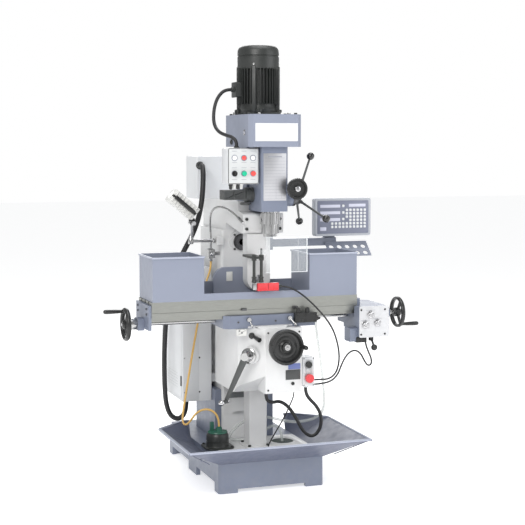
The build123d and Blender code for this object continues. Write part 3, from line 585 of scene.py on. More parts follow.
def makeFloor():
    clearSelection()
    bpy.ops.mesh.primitive_plane_add(size=60, location=(0, 0, -0.0005))
    floor = bakePlace(bpy.context.object)
    floor.name = "floor"
    finish, tree, shader, place = startFinish("paleFloor")
    skin = useGroup(tree, paintSkin, place, Colour=(0.93, 0.93, 0.93), Patch_Colour=(0.92, 0.92, 0.92),
        Peel_Size=12.0, Smoothest=0.75, Roughest=0.85)
    tree.links.new(skin.outputs["Colour"], shader.inputs["Base Color"])
    tree.links.new(skin.outputs["Roughness"], shader.inputs["Roughness"])
    shader.inputs["Emission Color"].default_value = (1, 1, 1, 1)
    shader.inputs["Emission Strength"].default_value = 0.55
    floor.data.materials.append(finish)


bpy.context.scene.view_settings.view_transform = "Standard"
makeCamera(cameraSettings)
makeLights(lightSettings)
makeFloor()
print("camera, lights and floor made")


# Cords and hoses, routes in millimetres

def splineOf(name, points, diameter):
    curve = bpy.data.curves.new(name, "CURVE")
    curve.dimensions = "3D"
    curve.resolution_u = 10
    spline = curve.splines.new("NURBS")
    spline.points.add(len(points) - 1)
    for point, place in zip(spline.points, points):
        point.co = (*place, 1)
    spline.order_u = 3
    spline.use_endpoint_u = True
    curve.bevel_depth = diameter / 2
    curve.bevel_resolution = 5
    curve.use_fill_caps = True
    cordPiece = bpy.data.objects.new(name, curve)
    bpy.context.scene.collection.objects.link(cordPiece)
    return cordPiece


def lineOf(cordPiece):
    # points that the cord's own spline follows
    thin = cordPiece.copy()
    thin.data = cordPiece.data.copy()
    thin.data.bevel_depth = 0
    bpy.context.scene.collection.objects.link(thin)
    mesh = bpy.data.meshes.new_from_object(thin)
    points = [tuple(vertex.co) for vertex in mesh.vertices]
    bpy.data.objects.remove(thin)
    return points


def mm(*points):
    return [tuple(value / 1000 for value in point) for point in points]


sheath = {"finish": "blackSheath", "slot": "black_sheath"}
cords = {
    "motorLead": {
        "node": "motor_lead", "body": "frame", "length": 0.413, "diameter": 0.016, **sheath,
        "stiffness": "stiff",
        "route": mm((-119, -200, 1860), (-148, -200, 1860), (-182, -206, 1832), (-203, -212, 1790),
                    (-214, -222, 1735), (-215, -242, 1690), (-204, -278, 1660), (-184, -318, 1646),
                    (-166, -354, 1638), (-150, -375, 1620), (-150, -375, 1596)),
    },
    "headConduit": {
        "node": "head_conduit", "body": "frame", "length": 1.618, "diameter": 0.025, **sheath,
        "stiffness": "stiff",
        "route": mm((-175, 140, 1500), (-175, 100, 1500), (-184, 55, 1496), (-192, 20, 1460),
        (-198, 4, 1405),
                    (-205, -4, 1345), (-215, -6, 1285), (-230, 2, 1222), (-252, 14, 1160), (-282, 36, 1095),
                    (-310, 70, 1020), (-325, 115, 940), (-331, 160, 850), (-333, 200, 755),
                    (-334, 225, 655),
                    (-335, 238, 555), (-334, 244, 455), (-332, 242, 365), (-326, 238, 290),
                    (-306, 234, 235),
                    (-270, 230, 214), (-238, 226, 232), (-225, 221, 285), (-225, 221, 345)),
    },
    "coolantHose": {
        "node": "coolant_hose", "body": "frame", "length": 1.06, "diameter": 0.010, "finish": "yellowHose",
        "slot": "yellow_hose", "stiffness": "medium",
        "route": mm((-183, -200, 262), (-183, -200, 290), (-196, -194, 324), (-224, -184, 344),
        (-258, -172, 343),
                    (-288, -160, 322), (-308, -150, 290), (-324, -138, 266), (-338, -122, 268),
                    (-338, -108, 296),
                    (-328, -100, 350), (-312, -90, 425), (-292, -76, 520), (-268, -60, 625),
                    (-243, -46, 735),
                    (-216, -32, 845), (-190, -18, 940), (-162, -5, 1000), (-162, -5, 1036)),
    },
    "drainHose": {
        "node": "drain_hose", "body": "frame", "length": 1.419, "diameter": 0.014, "finish": "clearHose",
        "slot": "clear_hose", "stiffness": "limp", "bends": ("frame", "knee", (0, 0, 0.20), (0, 0, 0.78)),
        "route": mm((300, -222, 808.2), (300, -222, 772), (308, -212, 715), (321, -206, 648),
        (334, -202, 575),
                    (345, -199, 500), (354, -195, 430), (364, -186, 365), (366, -174, 310),
                    (350, -162, 272),
                    (312, -156, 252), (262, -154, 245), (210, -154, 246), (160, -152, 256),
                    (112, -146, 270),
                    (60, -138, 280), (5, -128, 275), (-48, -118, 250), (-88, -106, 212), (-104, -98, 178),
                    (-82, -102, 169), (-42, -118, 169), (4, -136, 172), (46, -146, 196), (84, -150, 228),
                    (118, -156, 238), (142, -164, 214), (150, -169, 172), (150, -169, 128)),
    },
    "guardCable": {
        "node": "guard_cable", "body": "frame", "length": 0.688, "diameter": 0.008, **sheath,
        "stiffness": "medium", "bends": ("frame", "knee", (0, 0, 0.93), (0, 0, 0.56)),
        "route": mm((20, -462, 954), (48, -462, 954), (84, -482, 944), (124, -498, 918), (164, -508, 882),
                    (206, -510, 840), (246, -508, 795), (279, -504, 745), (300, -500, 690),
                    (312, -498, 632),
                    (310, -496, 578), (294, -492, 534), (262, -484, 512), (226, -466, 510), (187, -466, 510)),
    },
    "feedCable": {
        "node": "feed_cable", "body": "table", "length": 0.542, "diameter": 0.008, **sheath,
        "stiffness": "medium", "bends": ("saddle", "table", (0.20, 0, 0), (0.44, 0, 0)),
        "route": mm((458, -463, 702), (458, -463, 672), (467, -475, 634), (479, -488, 600),
        (476, -497, 572),
                    (454, -503, 568), (434, -508, 594), (416, -512, 628), (388, -516, 648),
                    (356, -518, 642),
                    (330, -519, 614), (312, -518, 576), (298, -515, 538), (272, -506, 508),
                    (232, -490, 494),
                    (187, -490, 494)),
    },
    "controlConduit": {
        "node": "control_conduit", "body": "knee", "length": 0.613, "diameter": 0.016, **sheath,
        "stiffness": "stiff",
        "route": mm((158, -462, 478), (158, -462, 450), (180, -458, 418), (214, -454, 386),
        (240, -450, 342),
                    (244, -446, 294), (230, -440, 254), (204, -432, 234), (172, -422, 248),
                    (148, -412, 288),
                    (126, -400, 336), (98, -386, 378), (62, -372, 402), (26, -366, 394), (-2, -362, 408),
                    (-2, -362, 439.8)),
    },
    "kneeLead": {
        "node": "knee_lead", "body": "knee", "length": 0.335, "diameter": 0.006, **sheath,
        "stiffness": "medium", "bends": ("frame", "knee", (0, 0, 0.17), (0, 0, 0.45)),
        "route": mm((112, -432, 465), (112, -432, 436), (99, -423, 398), (82, -412, 352), (62, -399, 306),
                    (40, -386, 262), (20, -374, 222), (6, -364, 186), (6, -364, 160)),
    },
}


def layCord(name, made):
    piece = splineOf(name, made["route"], made["diameter"])
    line = None
    if "bends" in made:
        line = lineOf(piece)
        pickOnly(piece)
        bpy.ops.object.convert(target="MESH")
        piece = bpy.context.object
        bpy.ops.object.shade_smooth_by_angle(angle=math.radians(60))
    piece.data.materials.clear()
    piece.data.materials.append(finishes[made["finish"]])
    if line:
        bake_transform(piece)
    else:
        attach(piece, made["body"])
    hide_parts(made["node"])


for cordName, cordMade in cords.items():
    layCord(cordName, cordMade)
print("cords laid")


# Finishes of the CAD pieces that stay visible

nodeFinishes = {
    "slatePaint": "base head_casting saddle table_brackets feed_gearbox",
    "trayPaint": "coolant_tray",
    "castWhite": "column overarm pedestal knee",
    "ribbedRubber": "way_cover",
    "panelWhite": "electrical_cabinets control_box",
    "darkMetal": "horizontal_spindle knee_screw",
    "splashPaint": "gear_case gear_case_lid splash_guard",
    "brightSteel": "motor_pinion countershaft spindle_gear lock_lever_left lock_lever_right coolant_tap",
    "quillSteel": "quill spindle",
    "lensGreen": "start_button",
    "lensRed": "stop_button",
    "blackPlastic": "panel_selector speed_knob limit_switch feed_lever",
    "armGrey": "readout_arm",
    "chromed": "lamp_arm",
    "clearGuard": "guard_shield",
    "redPlastic": "estop_button",
    "groundIron": "table",
    "blackEnamel": "frame_bolts",
}
for finishName, nodeNames in nodeFinishes.items():
    for nodeName in nodeNames.split():
        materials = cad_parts[nodeName].data.materials
        materials.clear()
        materials.append(finishes[finishName])
print("CAD pieces painted")


def ringAt(name, centre, axis, middleRadius, tubeRadius, flatten=1.0):
    # round rim, squashed along its own axis by flatten
    clearSelection()
    turn = Vector(axis).to_track_quat("Z", "Y").to_euler()
    bpy.ops.mesh.primitive_torus_add(location=centre, rotation=turn, major_radius=middleRadius,
                                     minor_radius=tubeRadius, major_segments=72, minor_segments=20)
    piece = bpy.context.object
    piece.name = name
    piece.scale = (1, 1, flatten)
    bakePlace(piece)
    bpy.ops.object.shade_smooth()
    return piece


def roundBox(name, low, high, corner, axis, edge=0.0012):
    # box with its corners rounded along one axis
    block = bevelEdges(startBlock(name, low, high), edgeRuns(axis), corner, 5)
    return softEdges(block, edge)


def screwHead(name, place, axis, radius, height=0.003):
    # round head with a hexagon socket sunk in it
    socket = radius * 0.55
    head = turned(name, place, axis, [(0, radius), (height * 0.8, radius), (height, radius * 0.85)], 20)
    hole = turned("socket", Vector(place) + Vector(axis) * height * 0.4, axis,
                  [(0, socket), (height, socket)], 6)
    return cutThrough(head, hole)


motorMade = {
    "x": 0.015, "y": -0.200, "flange": (1.741, 1.755), "half": 0.088, "coreRadius": 0.084,
    "finLow": 1.793, "finHigh": 1.962, "finOut": 0.1025, "fins": 40, "ribTurn": -31,
    "cowl": [(1.955, 0.094), (1.958, 0.0985), (2.014, 0.0985), (2.0155, 0.0955), (2.019, 0.0955),
    (2.0205, 0.0985),
             (2.044, 0.0975), (2.056, 0.092), (2.063, 0.083), (2.0665, 0.070), (2.0665, 0.066), (2.062, 0.064)],
}


def makeMotor(made):
    x, y = made["x"], made["y"]
    low, high = made["flange"]
    half, core = made["half"], made["coreRadius"]
    flange = roundBox("flange", (x - half, y - half, low), (x + half, y + half, high), 0.02, 2)
    barrel = turned("barrel", (x, y, 0), (0, 0, 1),
                    [(high - 0.001, 0.087), (1.770, 0.090), (1.778, 0.086), (1.790, core), (1.960, core)], 64)
    fin = plate("fin", (x - 0.0014, y - made["finOut"], made["finLow"]),
        (x + 0.0014, y - core + 0.003, made["finHigh"]))
    fins = ringOf(fin, made["fins"], (x, y, 0), "Z", made["ribTurn"])
    rib = roundBox("rib", (x - 0.0105, y - 0.1028, high), (x + 0.0105, y - core + 0.004, 1.968), 0.004, 2)
    ribs = ringOf(rib, 4, (x, y, 0), "Z", made["ribTurn"])
    lug = turned("lug", (x, y - 0.096, high - 0.001), (0, 0, 1),
        [(0, 0.016), (0.012, 0.016), (0.014, 0.013)], 24)
    lugs = ringOf(lug, 4, (x, y, 0), "Z", made["ribTurn"] + 14)
    box = roundBox("box", (x - 0.118, y - 0.034, 1.825), (x - 0.080, y + 0.034, 1.893), 0.006, 0)
    cover = roundBox("cover", (x - 0.1215, y - 0.036, 1.823), (x - 0.117, y + 0.036, 1.895), 0.006, 0)
    gland = turned("gland", (x - 0.120, y, 1.860), (-1, 0, 0),
                   [(0, 0.014), (0.005, 0.014), (0.006, 0.012), (0.014, 0.0115), (0.016, 0.0085)], 12)
    body = joined("motorBody", [flange, barrel, fins, ribs, lugs, box, cover, gland])
    fit(body, "frame", "blackEnamel", "black_metal", "motor")
    cowl = turned("motorCowl", (x, y, 0), (0, 0, 1), made["cowl"], 72, 28)
    slot = plate("slot", (x - 0.002, y - 0.060, 2.0615), (x + 0.002, y - 0.020, 2.0650))
    grille = ringOf(slot, 28, (x, y, 0))
    eye = turned("eye", (x, y, 2.061), (0, 0, 1), [(0, 0.020), (0.004, 0.020), (0.006, 0.016)], 32)
    fit(joined("motorCowl", [cowl, grille, eye]), "frame", "blackEnamel", "black_metal")
    bolt = screwHead("motorBolt", (x, y - 0.098, 1.977), (0, -1, 0), 0.0045)
    bolts = ringOf(bolt, 4, (x, y, 0), "Z", made["ribTurn"])
    fit(bolts, "frame", "brightSteel", "steel")


gearCaseMade = {"plate": ((-0.088, -0.4615, 1.618), (0.118, -0.4598, 1.700)), "left": -0.115}


def makeGearCaseTrim(made):
    low, high = made["plate"]
    fit(roundBox("blankPlate", low, high, 0.002, 1, 0.0003), "frame", "keyWhite", "white_plastic")
    left = made["left"]
    plug = screwHead("oilPlug", (left + 0.001, -0.197, 1.615), (-1, 0, 0), 0.0125, 0.008)
    fit(plug, "frame", "blackEnamel", "black_metal")
    ring = turned("sightRing", (left + 0.001, -0.389, 1.658), (-1, 0, 0),
                  [(0, 0.013), (0.004, 0.013), (0.005, 0.0115), (0.005, 0.008), (0.003, 0.0075)], 24)
    fit(ring, "frame", "brightSteel", "steel")
    glass = turned("sightGlass", (left, -0.389, 1.658), (-1, 0, 0),
        [(0, 0.0074), (0.003, 0.0072), (0.0042, 0.005)], 24)
    fit(glass, "frame", "windowGrey", "clear_plastic")
    rim = turned("breather", (-0.085, -0.150, 1.7412), (0, 0, 1),
                 [(0, 0.012), (0.004, 0.012), (0.005, 0.009), (0.013, 0.009), (0.015, 0.007)], 20)
    studs = [rim]
    for x in (-0.06, 0.085):
        studs.append(screwHead("stud", (x, -0.430, 1.741), (0, 0, 1), 0.008, 0.007))
    fit(joined("lidStuds", studs), "frame", "brightSteel", "steel")


headPlateMade = {"low": (-0.0405, -0.4362, 1.346), "high": (0.0705, -0.4348, 1.563), "rows": 13,
    "columns": (0.02, 0.045)}


def makeHeadPlate(made):
    low, high = made["low"], made["high"]
    sheet = roundBox("headPlate", low, high, 0.002, 1, 0.0003)
    fit(sheet, "frame", "plateSilver", "steel")
    front = low[1] - 0.0002
    pitch = (high[2] - low[2] - 0.03) / made["rows"]
    rules = []
    for row in range(made["rows"] + 1):
        z = low[2] + 0.008 + pitch * row
        rules.append(plate("rule", (low[0] + 0.006, front, z), (high[0] - 0.006, front + 0.001, z + 0.0009),
            0.0001))
    for x in made["columns"]:
        rules.append(plate("rule", (x, front, low[2] + 0.008), (x + 0.0009, front + 0.001, low[2] + 0.10),
            0.0001))
    title = plate("title", (low[0] + 0.022, front, high[2] - 0.018),
        (high[0] - 0.022, front + 0.001, high[2] - 0.013), 0.0001)
    fit(joined("headPlateRules", rules + [title]), "frame", "ruleGrey", "slate_paint")


panelMade = {
    "low": (-0.205, -0.416, 1.423), "high": (-0.057, -0.327, 1.587), "face": -0.4205,
    "columns": (-0.174, -0.129, -0.086), "lampRow": 1.542, "buttonRow": 1.471,
    "lenses": ("lensWhite", "lensRed", "lensWhite"),
}


def makeControlPanel(made):
    low, high, face = made["low"], made["high"], made["face"]
    box = roundBox("panelBox", low, high, 0.005, 1)
    hood = plate("hood", (-0.058, -0.400, 1.440), (-0.0502, -0.345, 1.570))
    fit(joined("panelBox", [box, hood]), "frame", "panelWhite", "cabinet_paint", "control_panel")
    gasket = roundBox("panelGasket", (-0.2035, -0.4175, 1.4245), (-0.0585, -0.4155, 1.5855), 0.005, 1,
        0.0004)
    fit(gasket, "frame", "handleGrey", "black_metal")
    sheet = roundBox("panelFace", (-0.201, face, 1.427), (-0.061, -0.4170, 1.583), 0.004, 1, 0.0006)
    fit(sheet, "frame", "panelFace", "cabinet_paint")
    collars = []
    for x, lens in zip(made["columns"], made["lenses"]):
        bulb = turned("panelLamp", (x, face, made["lampRow"]), (0, -1, 0),
                      [(0, 0.0105), (0.003, 0.0105), (0.0055, 0.009), (0.007, 0.0055)], 28)
        fit(bulb, "frame", lens, "white_plastic" if lens == "lensWhite" else "red_plastic")
        for z in (made["lampRow"], made["buttonRow"]):
            collars.append(turned("collar", (x, face + 0.0008, z), (0, -1, 0),
                                  [(0, 0.0140), (0.0022, 0.0140), (0.003, 0.0128), (0.003, 0.0112), (0.001, 0.0108)], 32))
    fit(joined("panelCollars", collars), "frame", "armGrey", "steel")
    strips = []
    for z in (1.572, 1.520, 1.497, 1.443):
        for x in made["columns"]:
            strips.append(plate("strip", (x - 0.012, face - 0.0003, z),
                (x + 0.012, face + 0.0005, z + 0.0016), 0.0001))
    fit(joined("panelStrips", strips), "frame", "ruleGrey", "slate_paint")
    glands = []
    for x in (-0.182, -0.148):
        glands.append(turned("gland", (x, -0.385, 1.4235), (0, 0, -1),
                             [(0, 0.010), (0.008, 0.010), (0.009, 0.008), (0.020, 0.0075), (0.024, 0.0045)], 12))
    whiteGlands = copiesAt(joined("whiteGlands", glands), [(0.017, 0, 0)])
    darkGlands = []
    for x in (-0.182, -0.148):
        darkGlands.append(turned("gland", (x, -0.385, 1.4235), (0, 0, -1),
                                 [(0, 0.010), (0.008, 0.010), (0.009, 0.008), (0.022, 0.0075), (0.026, 0.0045)], 12))
    darkGlands.append(turned("topGland", (-0.150, -0.375, 1.586), (0, 0, 1),
                             [(0, 0.014), (0.004, 0.014), (0.005, 0.012), (0.010, 0.0115)], 12))
    fit(whiteGlands, "frame", "lampWhite", "white_plastic")
    fit(joined("darkGlands", darkGlands), "frame", "blackPlastic", "black_plastic")
    switch = roundBox("travelSwitch", (-0.197, -0.330, 1.347), (-0.090, -0.262, 1.393), 0.004, 1)
    switch = insetFaces(switch, facing((0, -1, 0)), 0.005, -0.002)
    band = roundBox("band", (-0.150, -0.332, 1.352), (-0.144, -0.300, 1.388), 0.001, 1)
    drum = turned("drum", (0, -0.308, 1.370), (1, 0, 0),
                  [(-0.090, 0.030), (-0.088, 0.0345), (-0.080, 0.0345), (-0.079, 0.032), (-0.074, 0.032),
                  (-0.073, 0.0345),
                   (-0.066, 0.0345), (-0.065, 0.032), (-0.060, 0.032), (-0.059, 0.0345), (-0.0505, 0.0345)], 48)
    tray = turned("tray", (-0.085, -0.308, 1.322), (0, 0, 1),
        [(0, 0.022), (0.004, 0.026), (0.010, 0.026), (0.012, 0.020)], 32)
    fit(joined("travelSwitch", [switch, band, drum, tray]), "frame", "handleGrey", "black_metal")


readoutMade = {
    "low": (0.363, -0.060, 1.148), "high": (0.662, -0.012, 1.336), "lip": 0.012,
    "windows": [(0.05, 0.44, 0.12, 0.21), (0.05, 0.44, 0.32, 0.41), (0.05, 0.44, 0.53, 0.62),
    (0.61, 0.94, 0.10, 0.19)],
    "label": (0.05, 0.17, 0.80, 0.91),
    "keyColumns": (0.570, 0.640, 0.712, 0.783, 0.853, 0.924),
    "keyRows": (0.286, 0.388, 0.490, 0.592, 0.694, 0.796),
    "lowColumns": (0.284, 0.357, 0.430, 0.500), "axisRows": (0.16, 0.36, 0.56), "axisColumn": 0.50,
    "key": 0.0062,
}


def makeReadout(made):
    low, high, lip = Vector(made["low"]), Vector(made["high"]), made["lip"]
    case = roundBox("readoutCase", low, high, 0.011, 1, 0.002)
    case = insetFaces(case, facing((0, -1, 0)), 0.009, -0.0035)
    back = roundBox("back", (low[0] + 0.02, high[1] - 0.001, low[2] + 0.02),
        (high[0] - 0.02, high[1] + 0.008, high[2] - 0.02), 0.006, 1)
    vents = copiesAt(plate("vent", (0.560, -0.0045, 1.215), (0.564, -0.0025, 1.285)),
        [(0.010 * i, 0, 0) for i in range(7)])
    lug = plate("lug", (0.466, -0.013, 1.181), (0.486, 0.020, 1.199))
    eye = bar("eye", (0.466, 0.020, 1.190), (0.486, 0.020, 1.190), 0.013)
    fit(joined("readoutCase", [case, back, vents, lug, eye]), "readout", "bezelGrey", "slate_plastic",
        "readout")
    left, right = low[0] + lip, high[0] - lip
    bottom, top = low[2] + lip, high[2] - lip
    front = low[1] + 0.0015
    sheet = roundBox("readoutFace", (left, front, bottom), (right, front + 0.003, top), 0.004, 1, 0.0004)
    fit(sheet, "readout", "faceSlate", "slate_plastic")

    def panelPlace(across, down):
        return left + (right - left) * across, top - (top - bottom) * down

    windows = []
    for x0, x1, d0, d1 in made["windows"] + [made["label"]]:
        (wLeft, wTop), (wRight, wBottom) = panelPlace(x0, d0), panelPlace(x1, d1)
        windows.append(roundBox("window", (wLeft, front - 0.0008, wBottom), (wRight, front + 0.001, wTop),
            0.0015, 1, 0.0003))
    fit(joined("readoutWindows", windows), "readout", "windowGrey", "slate_plastic")
    spots = [(x, down) for x in made["keyColumns"] for down in made["keyRows"]
             if (x, down) != (made["keyColumns"][0], made["keyRows"][3])]
    spots += [(x, down) for x in made["lowColumns"] for down in made["keyRows"][4:]]
    spots += [(made["axisColumn"], down) for down in made["axisRows"]]
    size = made["key"]
    keys = []
    for across, down in spots:
        x, z = panelPlace(across, down)
        keys.append(roundBox("key", (x - size, front - 0.0022, z - size),
            (x + size, front + 0.0005, z + size), 0.0035, 1, 0.0005))
    fit(joined("readoutKeys", keys), "readout", "keyWhite", "white_plastic")


capstanMade = {"centre": (0.150, -0.370, 1.350), "reach": 0.200, "lean": 0.072, "turns": (5, 125, 245)}


def makeCapstan(made):
    x, y, z = made["centre"]
    hub = turned("hub", (0, y, z), (1, 0, 0),
                 [(0.1205, 0.024), (0.122, 0.033), (0.1335, 0.033), (0.135, 0.026), (0.156, 0.026), (0.162, 0.021), (0.164, 0.012)], 48)
    notch = plate("notch", (0.123, y - 0.0336, z - 0.0008), (0.1325, y - 0.032, z + 0.0008), 0.0002)
    dial = ringOf(notch, 36, (0, y, z), "X")
    fit(joined("capstanHub", [hub, dial]), "feed_capstan", "darkMetal", "black_metal", "feed_capstan")
    spokes, grips = [], []
    for turn in made["turns"]:
        angle = math.radians(turn)
        way = Vector((0, math.sin(angle), math.cos(angle)))
        start = Vector((x, y, z)) + way * 0.010
        end = Vector((x + made["lean"], y, z)) + way * made["reach"]
        run = (end - start).normalized()
        spokes.append(bar("spoke", start, end - run * 0.010, 0.0062, 20, 0.0048))
        spokes.append(turned("boss", start + run * 0.014, run,
            [(0, 0.0095), (0.012, 0.0095), (0.014, 0.0075)], 6))
        grips.append(turned("grip", end - run * 0.018, run,
                            [(0, 0.008), (0.002, 0.0105), (0.006, 0.0145), (0.012, 0.0175), (0.018, 0.0182),
                            (0.024, 0.0172),
                             (0.030, 0.0140), (0.034, 0.0090), (0.0355, 0.004)], 32, 60))
    fit(joined("capstanSpokes", spokes), "feed_capstan", "handleGrey", "black_metal")
    fit(joined("capstanGrips", grips), "feed_capstan", "glossBlack", "black_plastic")


fineWheelMade = {"x": 0.112, "z": 1.400}


def makeFineWheel(made):
    x, z = made["x"], made["z"]
    wheel = turned("fineWheel", (x, 0, z), (0, -1, 0),
                   [(0.4475, 0.014), (0.457, 0.014), (0.4585, 0.044), (0.461, 0.0485), (0.476, 0.0485),
                   (0.4785, 0.046),
                    (0.4785, 0.039), (0.472, 0.035), (0.4705, 0.022), (0.472, 0.015), (0.4785, 0.014)], 64)
    flute = knob("flute", (x, -0.469, z + 0.0485), 0.0024, 8)
    flutes = ringOf(flute, 30, (x, -0.469, z), "Y")
    fit(joined("fineWheel", [wheel, flutes]), "fine_feed_wheel", "blackPlastic", "black_plastic",
        "fine_feed_wheel")
    cap = turned("fineWheelCap", (x, 0, z), (0, -1, 0),
        [(0.478, 0.0125), (0.4805, 0.0125), (0.482, 0.010), (0.482, 0.005), (0.480, 0.0045)], 32)
    fit(cap, "fine_feed_wheel", "chromed", "chrome")


crossWheelMade = {"x": 0.022, "z": 0.688, "handle": 0.072}


def makeCrossWheel(made):
    x, z = made["x"], made["z"]
    wheel = turned("crossWheel", (x, 0, z), (0, -1, 0),
                   [(0.5365, 0.024), (0.555, 0.024), (0.557, 0.074), (0.5605, 0.0812), (0.582, 0.0818),
                   (0.586, 0.078),
                    (0.586, 0.071), (0.581, 0.068), (0.571, 0.064), (0.568, 0.052), (0.571, 0.046),
                    (0.5705, 0.036),
                    (0.568, 0.030), (0.572, 0.0235), (0.586, 0.022), (0.588, 0.020)], 72)
    knurl = turned("knurl", (x, 0, z), (0, -1, 0), [(0.5365, 0.0248), (0.552, 0.0248)], 40)
    fit(joined("crossWheel", [wheel, knurl]), "cross_handwheel", "blackPlastic", "black_plastic",
        "cross_handwheel")
    cap = turned("crossWheelCap", (x, 0, z), (0, -1, 0),
        [(0.5875, 0.0145), (0.590, 0.0135), (0.590, 0.007), (0.5885, 0.006)], 32)
    nut = turned("nut", (x, 0, z), (0, -1, 0), [(0.5885, 0.0055), (0.5905, 0.0055), (0.591, 0.0045)], 6)
    fit(joined("crossWheelCap", [cap, nut]), "cross_handwheel", "brightSteel", "steel")
    handle = turned("crossWheelHandle", (x + made["handle"], 0, z + 0.002), (0, -1, 0),
                    [(0.584, 0.008), (0.588, 0.010), (0.592, 0.0085), (0.606, 0.0098), (0.628, 0.0105), (0.641, 0.009), (0.6455, 0.005)], 28, 60)
    fit(handle, "cross_handwheel", "blackPlastic", "black_plastic")


tableWheelMade = {"y": -0.320, "z": 0.790, "rim": 0.0678, "tube": 0.0082, "spokes": 3,
    "crank": (0.038, 0.055)}


def makeTableWheels(made):
    y, z = made["y"], made["z"]
    shaft = bar("tableScrew", (-0.650, y, z), (0.688, y, z), 0.011, 32)
    fit(shaft, "table_screw", "brightSteel", "steel", "table_screw")
    for label, middle, outward in (("left", -0.661, -1), ("right", 0.691, 1)):
        rim = ringAt("rim", (middle, y, z), (1, 0, 0), made["rim"], made["tube"], 1.3)
        hub = turned("hub", (middle, y, z), (outward, 0, 0),
                     [(-0.016, 0.020), (-0.014, 0.0218), (0.008, 0.0218), (0.012, 0.018), (0.016, 0.014)], 40)
        spoke = bar("spoke", (middle, y, z + 0.014), (middle, y, z + 0.062), 0.0095, 20, 0.0075)
        spoke.data.transform(Matrix.Translation((middle, 0, 0)) @ Matrix.Diagonal((0.75, 1, 1,
            1)) @ Matrix.Translation((-middle, 0, 0)))
        spokes = ringOf(spoke, made["spokes"], (middle, y, z), "X", 30)
        across, down = made["crank"]
        start = Vector((middle, y - across * outward, z - down * outward))
        grip = turned("grip", start, (outward, 0, 0),
                      [(0.004, 0.0065), (0.009, 0.0085), (0.014, 0.0075), (0.030, 0.0088), (0.062, 0.0100),
                      (0.082, 0.0102),
                       (0.091, 0.0085), (0.0945, 0.004)], 28, 60)
        fit(joined(label + "Wheel", [rim, hub, spokes, grip]), "table_screw", "blackPlastic",
            "black_plastic")
        nut = turned(label + "WheelNut", (middle, y, z), (outward, 0, 0),
            [(0.0155, 0.009), (0.0185, 0.009), (0.0195, 0.0075)], 6)
        fit(nut, "table_screw", "chromed", "chrome")


gearboxMade = {"low": (0.411, -0.5028, 0.7015), "high": (0.5612, -0.4998, 0.8480),
               "screws": ((0.420, 0.832), (0.541, 0.831), (0.420, 0.716), (0.541, 0.715)),
               "knobs": ((0.441, 0.762), (0.503, 0.769), (0.467, 0.809))}


def makeGearboxFront(made):
    sheet = roundBox("gearboxPlate", made["low"], made["high"], 0.006, 1, 0.0006)
    marks = [plate("mark", (x - 0.024, -0.5030, z + 0.020), (x + 0.024, -0.5026, z + 0.0212), 0.0001) for x,
        z in made["knobs"]]
    fit(sheet, "table", "plateWhite", "steel")
    fit(joined("gearboxMarks", marks), "table", "ruleGrey", "slate_paint")
    screws = [screwHead("screw", (x, -0.5022, z), (0, -1, 0), 0.0048, 0.0022) for x, z in made["screws"]]
    bar1 = roundBox("railEnd", (0.405, -0.486, 0.676), (0.456, -0.452, 0.7015), 0.003, 0)
    fit(joined("gearboxScrews", screws + [bar1]), "table", "blackPlastic", "black_plastic")
    rings = [ringAt("knobRing", (x, -0.5045, z), (0, 1, 0), 0.0172, 0.0016) for x, z in made["knobs"]]
    fit(joined("knobRings", rings), "table", "chromed", "chrome")


def makeGearboxKnob(side, x, z):
    body = "feed_knob_" + side
    skirt = turned(side + "FeedKnob", (x, 0, z), (0, -1, 0),
                   [(0.5030, 0.0150), (0.5045, 0.0160), (0.5075, 0.0155), (0.5085, 0.0095), (0.517, 0.0088), (0.519, 0.0070)], 36)
    arms = [roundBox("arm", (x - 0.0042, -0.5165, z - 0.002), (x + 0.0042, -0.5085, z + 0.0195), 0.003, 1)]
    for turn in (120, 240):
        arm = roundBox("arm", (x - 0.0038, -0.5150, z), (x + 0.0038, -0.5085, z + 0.014), 0.003, 1)
        arms.append(turnAbout(arm, (x, 0, z), (0, 1, 0), turn))
    fit(joined(side + "FeedKnob", [skirt] + arms), body, "chromed", "chrome", "feed_knob_" + side)


lampMade = {"centre": (-0.322, -0.070, 1.318), "tilt": 40, "long": 0.075, "deep": 0.042, "tall": 0.033,
    "ribs": 7,
            "pivot": (-0.276, -0.068, 1.228)}


